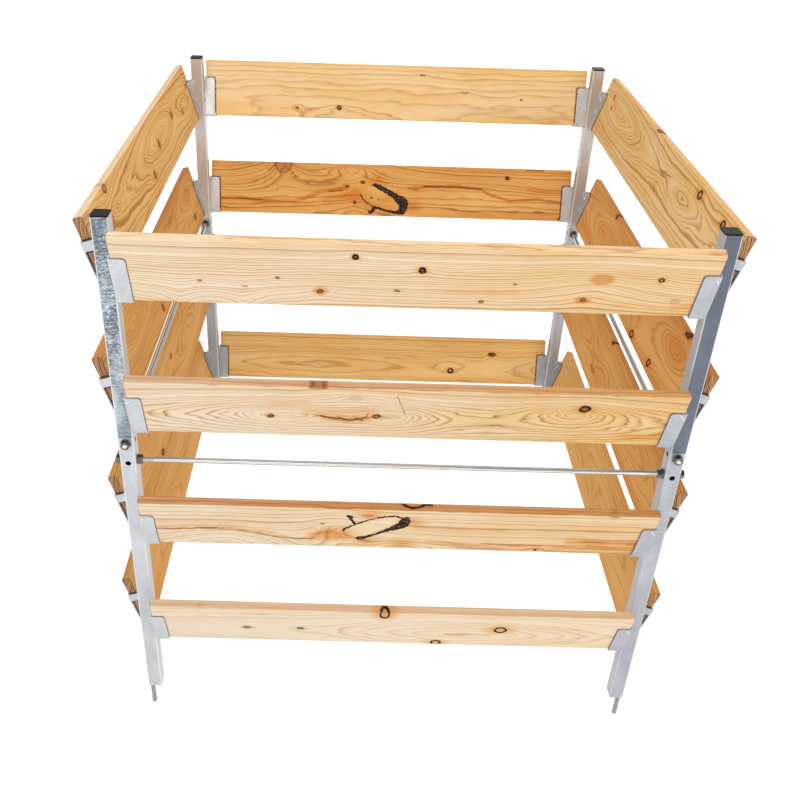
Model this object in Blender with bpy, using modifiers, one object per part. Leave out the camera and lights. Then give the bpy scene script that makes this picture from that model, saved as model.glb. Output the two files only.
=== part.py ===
"""Metal compost bin: steel corner posts with slanted boards in welded pockets.

Metres, +Z up, +X right, -Y front. The origin is at the middle of the bin,
level with the tips of the ground spikes. Each side of the bin is the front
side turned about Z, and each corner is the front right corner turned about Z.
"""

import math

import bmesh
import bpy
from mathutils import Matrix

# Fits between pieces
FIT = 0.0003  # gap between pieces that touch
ROD_CLEARANCE = 0.0005  # round a tie rod in its cross holes
BOARD_SIDE_PLAY = 0.0008  # between a board's faces and its bracket
BOARD_END_PLAY = 0.003  # between a board's end and the post

# Corner posts
CLEAR_SPAN = 1.000  # between neighbouring posts
POST_SIDE = 0.030
POST_WALL = 0.0025
POST_CORNER = 0.003  # outer corner radius
LOWER_POST_LENGTH = 0.680
POST_ABOVE_BOARDS = 0.0128  # top of the posts over the highest board

# Ground spikes, in the outer corner of each post
SPIKE_DIAMETER = 0.010
SPIKE_REACH = 0.060  # below the post
SPIKE_HOLD = 0.080  # inside the post
SPIKE_CHAMFER = 0.001

# Boards
BOARD_WIDTH = 0.140
BOARD_THICKNESS = 0.018
BOARD_TILT = math.radians(17)
BOARD_INSET = 0.0015  # lower outer edge behind the posts' outer faces
BOARD_EDGE = 0.0015  # width of the eased edges
FIRST_BOARD_HEIGHT = 0.152  # above the foot of the lower post
SEAM_TO_BOARD = 0.0157  # from the foot of the upper post to its first board
LEVELS_PER_POST = 2

# Brackets, folded from sheet and welded to the posts
SHEET = 0.0025
WELD_DEPTH = 0.0005  # how far a bracket's edges are melted into the post
OUTER_PLATE_WIDTH = 0.028
OUTER_PLATE_HEIGHT = 0.097  # up the slope, from the board's lower edge
OUTER_PLATE_CORNER = 0.006
INNER_PLATE_WIDTH = 0.025
INNER_PLATE_HEIGHT = 0.095
INNER_PLATE_CORNER = 0.007
BEND_RADIUS = 0.003  # outside of the folds
STRAP_THICKNESS = 0.002
STRAP_HEIGHT = 0.018
STRAP_LAP = 0.009  # past the inner plate, along the post

# Joint of the posts, with its tie rods
CONNECTOR_WALL = 0.002
CONNECTOR_RISE = 0.080  # into the upper post
CONNECTOR_EDGE = 0.020  # below its lowest hole
UPPER_HOLE_DROP = 0.012  # below the top of the lower post
LOWER_HOLE_DROP = 0.059
ROD_DIAMETER = 0.010
ROD_CHAMFER = 0.0008
ROD_PROUD = 0.0014  # past the outer nuts
NUT_ACROSS_FLATS = 0.016
NUT_HEIGHT = 0.010
NUT_FLANGE_DIAMETER = 0.020
NUT_FLANGE_THICKNESS = 0.0018

# Caps
CAP_THICKNESS = 0.0025
CAP_EDGE = 0.0008
PLUG_DEPTH = 0.012
PLUG_WALL = 0.0015

# Facets, cutters and joining
CORNER_STEPS = 3
ROUND_STEPS = 16
CAP_EDGE_STEPS = 2
HEXAGON_SIDES = 6
CUT_MARGIN = 0.005  # how far a cutter runs past what it cuts
SEAM_TOLERANCE = 1e-6  # points of one outline this close are one
LEVEL_DECIMALS = 7  # 0.1 micron
LEVEL_ANGLE = math.radians(0.1)  # faces this close to level are merged
EASED_ANGLE = math.radians(50)  # edges sharper than this are eased
SMOOTH_ANGLE = math.radians(35)  # edges blunter than this look round

# Sizes that follow
POST_FACE = CLEAR_SPAN / 2
POST_CENTRE = POST_FACE + POST_SIDE / 2
POST_OUTSIDE = POST_FACE + POST_SIDE
BORE = POST_SIDE - 2 * POST_WALL
FITTED_SIDE = BORE - 2 * FIT
BOARD_LENGTH = CLEAR_SPAN - 2 * BOARD_END_PLAY
BOARD_RISE = BOARD_WIDTH * math.cos(BOARD_TILT) + BOARD_THICKNESS * math.sin(BOARD_TILT)
SEAM_SPAN = LOWER_POST_LENGTH + FIT + SEAM_TO_BOARD
BOARD_PITCH = (SEAM_SPAN - FIRST_BOARD_HEIGHT) / LEVELS_PER_POST
UPPER_BOARDS_SPAN = (LEVELS_PER_POST - 1) * BOARD_PITCH + BOARD_RISE
UPPER_POST_LENGTH = SEAM_TO_BOARD + UPPER_BOARDS_SPAN + POST_ABOVE_BOARDS
LOWER_POST_FOOT = SPIKE_REACH
LOWER_POST_TOP = LOWER_POST_FOOT + LOWER_POST_LENGTH
UPPER_POST_FOOT = LOWER_POST_TOP + FIT
UPPER_POST_TOP = UPPER_POST_FOOT + UPPER_POST_LENGTH
HOLE_DIAMETER = ROD_DIAMETER + 2 * ROD_CLEARANCE
CONNECTOR_FOOT = LOWER_POST_TOP - LOWER_HOLE_DROP - CONNECTOR_EDGE
CONNECTOR_LENGTH = UPPER_POST_FOOT + CONNECTOR_RISE - CONNECTOR_FOOT
ROD_LENGTH = 2 * (POST_OUTSIDE + FIT + NUT_HEIGHT + ROD_PROUD)

# Where a bracket's pocket lies across the board, from the board's outer face inward
POCKET_OUTER = -BOARD_SIDE_PLAY
POCKET_INNER = BOARD_THICKNESS + BOARD_SIDE_PLAY

# Each side is the front turned about Z by this many degrees
SIDES = {"front": 0, "right": 90, "rear": 180, "left": 270}
# Each corner is the front right one turned about Z by this many degrees
CORNERS = {"front_right": 0, "rear_right": 90, "rear_left": 180, "front_left": 270}
# The rods that run left to right pass below those that run front to rear
ROD_DROPS = {
    "front": LOWER_HOLE_DROP,
    "right": UPPER_HOLE_DROP,
    "rear": LOWER_HOLE_DROP,
    "left": UPPER_HOLE_DROP,
}
# Turns that lay an upright piece along X or along Y
LAY_ALONG = {
    "x": Matrix.Rotation(math.radians(90), 4, "Y"),
    "y": Matrix.Rotation(math.radians(90), 4, "X"),
}
# Swaps the two sides that meet at the front right corner
ACROSS_CORNER = Matrix(((0, -1, 0, 0), (-1, 0, 0, 0), (0, 0, 1, 0), (0, 0, 0, 1)))

PARTS = "metal_compost_bin"
WORKSHOP = "cutters"


# Scene and materials

def clear_scene():
    for existing in list(bpy.data.objects):
        bpy.data.objects.remove(existing, do_unlink=True)
    for name in (PARTS, WORKSHOP):
        collection = bpy.data.collections.new(name)
        bpy.context.scene.collection.children.link(collection)


def make_material(name, colour, roughness, metallic):
    material = bpy.data.materials.new(name)
    material.use_nodes = True
    shader = material.node_tree.nodes["Principled BSDF"]
    shader.inputs["Base Color"].default_value = (*colour, 1)
    shader.inputs["Roughness"].default_value = roughness
    shader.inputs["Metallic"].default_value = metallic
    material.diffuse_color = (*colour, 1)
    return material


def add_part(name, mesh, material, parent, location, rotation=(0, 0, 0)):
    """Place a mesh as one named part."""
    part = bpy.data.objects.new(name, mesh)
    bpy.data.collections[PARTS].objects.link(part)
    if not mesh.materials:
        mesh.materials.append(material)
    part.parent = parent
    part.location = location
    part.rotation_euler = rotation
    return part


def add_empty(name, place):
    empty = bpy.data.objects.new(name, None)
    bpy.data.collections[PARTS].objects.link(empty)
    empty.empty_display_size = POST_SIDE
    empty.matrix_world = place
    return empty


def turned(degrees):
    return Matrix.Rotation(math.radians(degrees), 4, "Z")


# Outlines, as lists of X and Y

def arc(centre, radius, start, end, steps):
    """Points on an arc, ends included, angles in degrees."""
    angles = [math.radians(start + (end - start) * step / steps) for step in range(steps + 1)]
    return [(centre[0] + radius * math.cos(a), centre[1] + radius * math.sin(a)) for a in angles]


def square_outline(side, corner=0.0):
    """A square round the origin, with rounded corners where a radius is given."""
    half = side / 2
    if not corner:
        return [(half, half), (-half, half), (-half, -half), (half, -half)]
    near = half - corner
    points = []
    for quarter, centre in enumerate([(near, near), (-near, near), (-near, -near), (near, -near)]):
        points += arc(centre, corner, 90 * quarter, 90 * quarter + 90, CORNER_STEPS)
    return points


def polygon_outline(diameter, sides=ROUND_STEPS):
    """A regular polygon round the origin, its corners on a circle."""
    return arc((0, 0), diameter / 2, 0, 360, sides)[:-1]


def plate_outline(width, bottom, top, corner):
    """A plate from the weld towards -X, with its free top corner rounded."""
    points = [(WELD_DEPTH, bottom), (WELD_DEPTH, top)]
    points += arc((corner - width, top - corner), corner, 90, 180, CORNER_STEPS)
    points.append((-width, bottom))
    return points


def fold_outline(leg):
    """The U of a folded sheet round a board's lower edge, open upward.

    X runs across the board, and the floor's upper face is just below Y = 0.
    """
    left = POCKET_OUTER - SHEET
    right = POCKET_INNER + SHEET
    bend_height = BEND_RADIUS - SHEET - FIT
    points = [(POCKET_OUTER, leg), (left, leg)]
    points += arc((left + BEND_RADIUS, bend_height), BEND_RADIUS, 180, 270, CORNER_STEPS)
    points += arc((right - BEND_RADIUS, bend_height), BEND_RADIUS, 270, 360, CORNER_STEPS)
    points += [(right, leg), (POCKET_INNER, leg), (POCKET_INNER, -FIT), (POCKET_OUTER, -FIT)]
    return points


# Meshes

def finish_mesh(name, shape):
    mesh = bpy.data.meshes.new(name)
    shape.to_mesh(mesh)
    shape.free()
    return mesh


def outline_mesh(name, outlines, thickness, base=0.0):
    """Fill outlines, the inner ones as holes, and raise them from Z = base."""
    curve = bpy.data.curves.new(name + "_outline", "CURVE")
    curve.dimensions = "2D"
    curve.fill_mode = "BOTH"
    curve.extrude = thickness / 2
    for outline in outlines:
        spline = curve.splines.new("POLY")
        spline.points.add(len(outline) - 1)
        for point, (x, y) in zip(spline.points, outline):
            point.co = (x, y, 0, 1)
        spline.use_cyclic_u = True
    holder = bpy.data.objects.new(name + "_outline", curve)
    bpy.data.collections[WORKSHOP].objects.link(holder)
    bpy.context.view_layer.update()
    evaluated = holder.evaluated_get(bpy.context.evaluated_depsgraph_get())
    filled = bpy.data.meshes.new_from_object(evaluated)
    bpy.data.objects.remove(holder)
    shape = bmesh.new()
    shape.from_mesh(filled)
    bmesh.ops.remove_doubles(shape, verts=shape.verts, dist=SEAM_TOLERANCE)
    bmesh.ops.translate(shape, verts=shape.verts, vec=(0, 0, base + thickness / 2))
    bmesh.ops.recalc_face_normals(shape, faces=shape.faces)
    return finish_mesh(name, shape)


def box_mesh(name, low, high):
    """A box between two corners."""
    shape = bmesh.new()
    bmesh.ops.create_cube(shape, size=1)
    size = [top - bottom for bottom, top in zip(low, high)]
    middle = [(top + bottom) / 2 for bottom, top in zip(low, high)]
    bmesh.ops.scale(shape, verts=shape.verts, vec=size)
    bmesh.ops.translate(shape, verts=shape.verts, vec=middle)
    return finish_mesh(name, shape)


def bar_mesh(name, diameter, length):
    """A round bar along Z, its middle at the origin."""
    shape = bmesh.new()
    bmesh.ops.create_cone(
        shape, cap_ends=True, segments=ROUND_STEPS,
        radius1=diameter / 2, radius2=diameter / 2, depth=length)
    return finish_mesh(name, shape)


def moved_mesh(name, pieces):
    """Copies of meshes, each moved by its matrix, as separate bodies of one mesh."""
    shape = bmesh.new()
    for mesh, place in pieces:
        first_vertex = len(shape.verts)
        first_face = len(shape.faces)
        shape.from_mesh(mesh)
        shape.verts.ensure_lookup_table()
        shape.faces.ensure_lookup_table()
        bmesh.ops.transform(shape, matrix=place, verts=shape.verts[first_vertex:])
        if place.determinant() < 0:
            bmesh.ops.reverse_faces(shape, faces=shape.faces[first_face:])
    return finish_mesh(name, shape)


def level_faces(mesh):
    """Round coordinates, so that faces meant to be level are exactly so."""
    for vertex in mesh.vertices:
        vertex.co = [round(value, LEVEL_DECIMALS) for value in vertex.co]


def modified_mesh(name, mesh, operands=(), operation="DIFFERENCE", bevel=0.0, bevel_steps=1):
    """Ease a mesh's sharp edges, then cut the operands from it or join them to it."""
    workshop = bpy.data.collections[WORKSHOP]
    target = bpy.data.objects.new(name + "_blank", mesh)
    workshop.objects.link(target)
    holders = [target]
    if bevel:
        rounding = target.modifiers.new("eased edges", "BEVEL")
        rounding.width = bevel
        rounding.segments = bevel_steps
        rounding.limit_method = "ANGLE"
        rounding.angle_limit = EASED_ANGLE
    for operand in operands:
        holder = bpy.data.objects.new(name + "_operand", operand)
        workshop.objects.link(holder)
        holder.hide_render = True
        holder.display_type = "WIRE"
        holders.append(holder)
        boolean = target.modifiers.new(operand.name, "BOOLEAN")
        boolean.operation = operation
        boolean.solver = "EXACT"
        boolean.object = holder
    bpy.context.view_layer.update()
    evaluated = target.evaluated_get(bpy.context.evaluated_depsgraph_get())
    result = bpy.data.meshes.new_from_object(evaluated)
    for holder in holders:
        bpy.data.objects.remove(holder)
    shape = bmesh.new()
    shape.from_mesh(result)
    bmesh.ops.dissolve_limit(
        shape, angle_limit=LEVEL_ANGLE, verts=shape.verts, edges=shape.edges)
    return finish_mesh(name, shape)


def shade_round(mesh):
    mesh.shade_smooth()
    mesh.set_sharp_from_angle(angle=SMOOTH_ANGLE)
    return mesh


# Pieces of a corner, modelled for the front right one with Z on the post's axis

def tube_mesh(name, side, wall, corner, length):
    outlines = [square_outline(side, corner), square_outline(side - 2 * wall)]
    return outline_mesh(name, outlines, length)


def rod_drills(side, top):
    """Cutters for the rods' holes in a tube: one along X and one along Y.

    Top is the height of the lower post's top in the tube's own frame.
    """
    bar = bar_mesh("drill", HOLE_DIAMETER, side + 2 * CUT_MARGIN)
    drills = []
    for direction, turn in LAY_ALONG.items():
        bars = []
        for drop in (UPPER_HOLE_DROP, LOWER_HOLE_DROP):
            bars.append((bar, Matrix.Translation((0, 0, top - drop)) @ turn))
        drills.append(moved_mesh(f"drills_along_{direction}", bars))
    return drills


def bracket_mesh():
    """The pocket for a front board's right end.

    X = 0 is the post's side face, and the pocket reaches towards -X. Y runs from
    the board's outer face inward, and Z up the board's slope from its lower edge.
    """
    upright = LAY_ALONG["y"]
    across_board = turned(90) @ upright
    length = OUTER_PLATE_WIDTH + WELD_DEPTH
    channel = outline_mesh("channel", [fold_outline(2 * BEND_RADIUS)], length, -OUTER_PLATE_WIDTH)
    fold = moved_mesh("bracket_fold", [(channel, across_board)])

    # The plates start inside the legs of the fold
    outer_plate = plate_outline(
        OUTER_PLATE_WIDTH, BEND_RADIUS, OUTER_PLATE_HEIGHT, OUTER_PLATE_CORNER)
    inner_plate = plate_outline(
        INNER_PLATE_WIDTH, BEND_RADIUS, INNER_PLATE_HEIGHT, INNER_PLATE_CORNER)
    outer_flat = outline_mesh("outer_flat", [outer_plate], SHEET, -POCKET_OUTER)
    inner_flat = outline_mesh("inner_flat", [inner_plate], SHEET, -POCKET_INNER - SHEET)
    outer = moved_mesh("bracket_outer_plate", [(outer_flat, upright)])
    inner = moved_mesh("bracket_inner_plate", [(inner_flat, upright)])

    strap = box_mesh(
        "bracket_strap",
        (-STRAP_THICKNESS, POCKET_OUTER - SHEET, OUTER_PLATE_HEIGHT - STRAP_HEIGHT),
        (WELD_DEPTH, POCKET_INNER + SHEET + STRAP_LAP, OUTER_PLATE_HEIGHT))
    for piece in (fold, outer, inner, strap):
        level_faces(piece)
    return modified_mesh("bracket", fold, [outer, inner, strap], "UNION")


def welded_post_mesh(name, tube, bracket, first_board_height):
    """A tube with a bracket on each of its two inner sides at each level."""
    brackets = []
    for level in range(LEVELS_PER_POST):
        height = first_board_height + level * BOARD_PITCH
        seat = Matrix.Translation((-POST_SIDE / 2, BOARD_INSET - POST_SIDE / 2, height))
        on_side = seat @ Matrix.Rotation(BOARD_TILT, 4, "X")
        brackets.append(moved_mesh(f"side_bracket_{level}", [(bracket, on_side)]))
        brackets.append(moved_mesh(f"front_bracket_{level}", [(bracket, ACROSS_CORNER @ on_side)]))
    return modified_mesh(name, tube, brackets, "UNION")


def lower_post_mesh(bracket):
    tube = tube_mesh("lower_tube", POST_SIDE, POST_WALL, POST_CORNER, LOWER_POST_LENGTH)
    drilled = modified_mesh("drilled_tube", tube, rod_drills(POST_SIDE, LOWER_POST_LENGTH))
    return welded_post_mesh("lower_post", drilled, bracket, FIRST_BOARD_HEIGHT)


def upper_post_mesh(bracket):
    tube = tube_mesh("upper_tube", POST_SIDE, POST_WALL, POST_CORNER, UPPER_POST_LENGTH)
    return welded_post_mesh("upper_post", tube, bracket, SEAM_TO_BOARD)


def connector_mesh():
    """The tube that locates the upper post, held in the lower one by the tie rods."""
    tube = tube_mesh("connector_tube", FITTED_SIDE, CONNECTOR_WALL, 0.0, CONNECTOR_LENGTH)
    drills = rod_drills(FITTED_SIDE, LOWER_POST_TOP - CONNECTOR_FOOT)
    return modified_mesh("post_connector", tube, drills)


def spike_mesh():
    blank = bar_mesh("spike_blank", SPIKE_DIAMETER, SPIKE_REACH + SPIKE_HOLD)
    return shade_round(modified_mesh("ground_spike", blank, bevel=SPIKE_CHAMFER))


def cap_mesh():
    """A plate as wide as the post, with a hollow plug below, seated at Z = 0."""
    plate = outline_mesh("cap_plate", [square_outline(POST_SIDE, POST_CORNER)], CAP_THICKNESS)
    overlap = CAP_THICKNESS / 2
    plug = outline_mesh(
        "cap_plug",
        [square_outline(FITTED_SIDE), square_outline(FITTED_SIDE - 2 * PLUG_WALL)],
        PLUG_DEPTH + overlap, -PLUG_DEPTH)
    return modified_mesh("post_cap", plate, [plug], "UNION", CAP_EDGE, CAP_EDGE_STEPS)


def build_corners(steel, aged_steel, zinc, plastic):
    bracket = bracket_mesh()
    lower_post = lower_post_mesh(bracket)
    upper_post = upper_post_mesh(bracket)
    connector = connector_mesh()
    spike = spike_mesh()
    cap = cap_mesh()
    spike_out = BORE / 2 - FIT - SPIKE_DIAMETER / 2
    spike_seat = (spike_out, -spike_out, (SPIKE_REACH + SPIKE_HOLD) / 2)
    for corner, degrees in CORNERS.items():
        place = turned(degrees) @ Matrix.Translation((POST_CENTRE, -POST_CENTRE, 0))
        axis = add_empty(corner + "_corner", place)
        add_part(corner + "_ground_spike", spike, zinc, axis, spike_seat)
        add_part(corner + "_lower_post", lower_post, steel, axis, (0, 0, LOWER_POST_FOOT))
        add_part(corner + "_post_connector", connector, steel, axis, (0, 0, CONNECTOR_FOOT))
        add_part(corner + "_upper_post", upper_post, aged_steel, axis, (0, 0, UPPER_POST_FOOT))
        add_part(corner + "_cap", cap, plastic, axis, (0, 0, UPPER_POST_TOP + FIT))


# Pieces of a side, modelled for the front

def board_mesh():
    """A board along X on its lower outer edge, before it is tilted."""
    half = BOARD_LENGTH / 2
    blank = box_mesh("board_blank", (-half, 0, 0), (half, BOARD_THICKNESS, BOARD_WIDTH))
    return modified_mesh("board", blank, bevel=BOARD_EDGE)


def rod_mesh():
    blank = bar_mesh("tie_rod_blank", ROD_DIAMETER, ROD_LENGTH)
    return shade_round(modified_mesh("tie_rod", blank, bevel=ROD_CHAMFER))


def nut_mesh():
    """A flanged hex nut, its seat at Z = 0."""
    across_corners = NUT_ACROSS_FLATS / math.cos(math.pi / HEXAGON_SIDES)
    hexagon = polygon_outline(across_corners, HEXAGON_SIDES)
    flange = outline_mesh(
        "nut_flange", [polygon_outline(NUT_FLANGE_DIAMETER)], NUT_FLANGE_THICKNESS)
    overlap = NUT_FLANGE_THICKNESS / 2
    body = outline_mesh("nut_body", [hexagon], NUT_HEIGHT - overlap, overlap)
    blank = modified_mesh("nut_blank", flange, [body], "UNION")
    bore = bar_mesh("nut_bore", ROD_DIAMETER + 2 * FIT, 2 * NUT_HEIGHT + 2 * CUT_MARGIN)
    return modified_mesh("rod_nut", blank, [bore])


def build_sides(wood, zinc):
    board = board_mesh()
    rod = rod_mesh()
    nut = nut_mesh()
    first_boards = (LOWER_POST_FOOT + FIRST_BOARD_HEIGHT, UPPER_POST_FOOT + SEAM_TO_BOARD)
    facing_right = math.radians(90)
    # Nuts from left to right: outside and inside the left post, then the right one
    nut_seats = (
        (-POST_OUTSIDE - FIT, -facing_right),
        (-POST_FACE + FIT, facing_right),
        (POST_FACE - FIT, -facing_right),
        (POST_OUTSIDE + FIT, facing_right),
    )
    for side, degrees in SIDES.items():
        face = add_empty(side + "_side", turned(degrees))
        number = 0
        for first_board in first_boards:
            for level in range(LEVELS_PER_POST):
                number += 1
                edge = (0, BOARD_INSET - POST_OUTSIDE, first_board + level * BOARD_PITCH)
                add_part(f"{side}_board_{number}", board, wood, face, edge, (BOARD_TILT, 0, 0))
        rod_height = LOWER_POST_TOP - ROD_DROPS[side]
        rod_axis = (0, -POST_CENTRE, rod_height)
        add_part(side + "_tie_rod", rod, zinc, face, rod_axis, (0, facing_right, 0))
        for number, (across, facing) in enumerate(nut_seats, 1):
            seat = (across, -POST_CENTRE, rod_height)
            add_part(f"{side}_rod_nut_{number}", nut, zinc, face, seat, (0, facing, 0))


def main():
    clear_scene()
    steel = make_material("galvanised_steel", (0.62, 0.63, 0.65), 0.42, 0.85)
    aged_steel = make_material("weathered_galvanised_steel", (0.30, 0.33, 0.38), 0.48, 0.85)
    zinc = make_material("zinc_fasteners", (0.35, 0.35, 0.37), 0.35, 0.9)
    plastic = make_material("black_plastic", (0.02, 0.02, 0.022), 0.45, 0.0)
    wood = make_material("softwood", (0.72, 0.53, 0.30), 0.65, 0.0)
    build_corners(steel, aged_steel, zinc, plastic)
    build_sides(wood, zinc)


main()
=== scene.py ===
"""Metal compost bin: its looks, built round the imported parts.

Metres, +Z up, +X right, -Y front, the origin on the floor under the middle of
the bin. Each side is the front side turned about Z, and each corner is the
front right corner turned about Z. A board's own frame has X along the board,
Y from its outer face inward and Z up its slope from the lower outer edge.
"""

import math

import bmesh
import bpy
import numpy as np
from mathutils import Matrix, Vector, noise


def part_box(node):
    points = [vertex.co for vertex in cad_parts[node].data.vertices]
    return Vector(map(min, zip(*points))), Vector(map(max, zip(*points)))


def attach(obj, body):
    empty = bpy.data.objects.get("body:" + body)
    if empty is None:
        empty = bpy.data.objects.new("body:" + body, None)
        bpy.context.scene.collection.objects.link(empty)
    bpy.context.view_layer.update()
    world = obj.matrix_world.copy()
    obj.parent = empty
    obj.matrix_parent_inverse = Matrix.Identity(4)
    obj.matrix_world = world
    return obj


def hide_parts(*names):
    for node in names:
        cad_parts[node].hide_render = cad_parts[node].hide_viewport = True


bl_info = {
    "name": "Metal compost bin",
    "version": (1, 0, 0),
    "blender": (4, 5, 0),
    "location": "View3D > Sidebar > Compost bin",
    "description": "Softwood boards, galvanised posts and their fittings",
    "category": "Add Mesh",
}

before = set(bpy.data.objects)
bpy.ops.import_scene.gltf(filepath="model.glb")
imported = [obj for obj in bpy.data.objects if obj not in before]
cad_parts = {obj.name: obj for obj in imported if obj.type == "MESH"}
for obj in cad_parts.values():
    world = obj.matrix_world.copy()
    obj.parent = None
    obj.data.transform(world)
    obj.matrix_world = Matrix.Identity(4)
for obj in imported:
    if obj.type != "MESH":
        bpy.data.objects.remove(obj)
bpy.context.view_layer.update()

SIDES = {"front": 0, "right": 90, "rear": 180, "left": 270}
CORNERS = {"front_right": 0, "rear_right": 90, "rear_left": 180, "front_left": 270}
FRAME_BODY = "post_frame"

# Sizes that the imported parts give
TUBE_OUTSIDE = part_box("front_right_cap")[1].x
TUBE_SIDE = TUBE_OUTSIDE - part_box("front_right_cap")[0].x
TUBE_FACE = TUBE_OUTSIDE - TUBE_SIDE
TUBE_CENTRE = TUBE_OUTSIDE - TUBE_SIDE / 2
BOARD_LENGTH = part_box("front_board_1")[1].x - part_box("front_board_1")[0].x
ROD_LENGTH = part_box("front_tie_rod")[1].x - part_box("front_tie_rod")[0].x
ROD_RADIUS = (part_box("front_tie_rod")[1].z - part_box("front_tie_rod")[0].z) / 2

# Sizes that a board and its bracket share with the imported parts
BOARD_WIDTH = 0.140
BOARD_THICKNESS = 0.018
BOARD_TILT = math.radians(17)
BOARD_INSET = 0.0015  # of the lower outer edge, behind the tube's outer face
BOARD_HEIGHTS = {1: 0.212, 2: 0.484, 3: 0.756, 4: 1.028}  # of the lower outer edge, by level
PLATE_REACH = 0.028  # of a bracket's plates from the post along the board
PLATE_TOP = 0.097  # of a bracket's plates, up the slope
STRAP_HEIGHT = 0.088  # of the middle of a bracket's strap, up the slope


def paint(code):
    """The linear colour of a screen colour written as 0xRRGGBB."""
    levels = [(code >> shift & 255) / 255 for shift in (16, 8, 0)]
    return tuple(v / 12.92 if v <= 0.04045 else ((v + 0.055) / 1.055) ** 2.4 for v in levels)


def shade(colour, factor):
    """The same colour, darker or paler."""
    return tuple(min(1.0, level * factor) for level in colour)


def metres(*lengths):
    """Lengths in millimetres as a tuple in metres."""
    return tuple(length / 1000 for length in lengths)


# Settings

def colour_setting(name, description, code):
    return bpy.props.FloatVectorProperty(
        name=name, description=description, default=paint(code),
        subtype="COLOR", min=0.0, max=1.0)


def length_setting(name, description, default):
    return bpy.props.FloatProperty(
        name=name, description=description, default=default,
        subtype="DISTANCE", unit="LENGTH", min=0.0)


def factor_setting(name, description, default):
    return bpy.props.FloatProperty(
        name=name, description=description, default=default,
        subtype="FACTOR", min=0.0, max=1.0)


def lamp_setting(name, description, default):
    return bpy.props.FloatProperty(
        name=name, description=description, default=default, min=0.0, unit="POWER")


class WoodSettings(bpy.types.PropertyGroup):
    edge_radius: length_setting("Edge radius", "Rounding of a board's long edges", 0.003)
    end_easing: length_setting("End easing", "Easing round a board's sawn ends", 0.0008)
    pale: colour_setting("Pale wood", "Early wood of the palest boards", 0xF8E8CE)
    golden: colour_setting("Golden wood", "Early wood of the boards between", 0xEFC57D)
    red: colour_setting("Red wood", "Early wood of the warmest boards", 0xDE9142)
    pale_ring: colour_setting("Pale ring", "Late wood of the palest boards", 0xBE8038)
    red_ring: colour_setting("Red ring", "Late wood of the warmest boards", 0x84400F)
    blush: colour_setting("Blush", "Tint of faintly reddened wood", 0xF9DCB8)
    heart: colour_setting("Heartwood", "Reddest streaks along the grain", 0xB4683A)
    knot: colour_setting("Knot", "Wood inside a knot", 0x96561A)
    # A crack's colour: resin and dirt, and painted shade in the gap
    crack: colour_setting("Crack", "Resin and dirt in a crack", 0x4E1E0C)
    bark: colour_setting("Bark", "Bark in a pocket and round a dead knot", 0x160A06)
    flake: colour_setting("Bark flake", "Brown flakes on the bark", 0x5A3C36)
    pale_flake: colour_setting("Pale flake", "Greyed flakes on the bark", 0x9A8A8A)
    bark_side: colour_setting("Bark side", "Stained wood along the side of the bark", 0x341808)
    # Tints of the upper edge: darker brown, or paler
    edge: colour_setting("Aged edge", "Tint of an aged upper edge", 0xBF8C54)
    pale_edge: colour_setting("Bleached edge", "Tone of a bleached upper edge", 0xE9DCC8)
    sawn: colour_setting("Sawn end", "End grain", 0xC4946A)
    end_ring: colour_setting("End ring", "Late wood on a sawn end", 0x5E341C)
    saw_mark: colour_setting("Saw mark", "Furred fibres on a sawn end", 0xAC7E58)
    # End rim: darker round a sawn end, and a painted shadow beside the strap
    end_rim_and_strap_shadow: colour_setting("End rim", "Dirt round a sawn end and beside the strap", 0x3E2616)
    # Dirt and a painted shadow line along the edges of the brackets
    dirt_and_shade: colour_setting("Dirt", "Dirt along the edges of the brackets", 0x5C4230)
    roughness: factor_setting("Roughness", "Roughness of planed wood", 0.62)
    gloss: factor_setting("Gloss", "Strength of the wood's shine", 0.09)


class SteelSettings(bpy.types.PropertyGroup):
    fresh: colour_setting("Fresh zinc", "Steel of the front left posts", 0xC4C8CD)
    weathered: colour_setting("Grey zinc", "Steel that has greyed", 0xACB0B7)
    sandy: colour_setting("Sandy zinc", "Stains on the rear upper posts", 0xC0B5A8)
    warm: colour_setting("Warm zinc", "Steel of the rear upper posts", 0xC2BFBD)
    violet: colour_setting("Violet zinc", "Cool tone of the rear right upper post", 0xA2A0AA)
    dull: colour_setting("Dull zinc", "Darkened faces of the front right upper post", 0x5A5F6C)
    speck: colour_setting("Speck", "Pale specks on the darkened faces", 0xD8DCE2)
    spangle_dark: colour_setting(
        "Dark spangle", "Dark crystals of the front left upper post", 0x5E6872)
    spangle_pale: colour_setting(
        "Pale spangle", "Pale crystals of the front left upper post", 0xC8D0D6)
    # Bore: a dark tone that stands for the shade inside the posts, painted shade
    inside: colour_setting("Bore", "Steel inside the posts", 0x2A2A2C)
    weld_dark: colour_setting("Dark weld", "Dark patches of the weld beads", 0xA4A8AD)
    weld_pale: colour_setting("Pale weld", "Pale patches of the weld beads", 0xE8EAEC)
    edge_easing: length_setting("Edge easing", "Rounding of cut steel edges", 0.0004)
    spangle_size: length_setting("Spangle size", "Width of a zinc crystal", 0.0036)
    roughness: factor_setting("Roughness", "Roughness of galvanised steel", 0.42)
    metal: factor_setting("Metal", "How metallic galvanised steel looks", 0.55)
    weld_metal: factor_setting("Weld metal", "How metallic the weld beads look", 0.7)


class FittingSettings(bpy.types.PropertyGroup):
    rod: colour_setting("Tie rod", "Bright zinc of the tie rods", 0xCCCAC8)
    nut: colour_setting("Nut", "Dark zinc of the nuts", 0x6C6A68)
    spike: colour_setting("Ground spike", "Zinc of the ground spikes", 0x989A9C)
    cap: colour_setting("Cap", "Plastic of the post caps", 0x120F0E)
    cap_gloss: factor_setting("Cap gloss", "Strength of the caps' shine", 0.08)
    cap_easing: length_setting("Cap easing", "Rounding of the caps' edges", 0.0003)
    thread_pitch: length_setting("Thread pitch", "Rise of the thread in one turn", 0.0015)
    thread_depth: length_setting("Thread depth", "Depth of the thread's groove", 0.0008)
    thread_length: length_setting("Thread length", "Threaded length at each end of a rod", 0.074)


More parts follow.
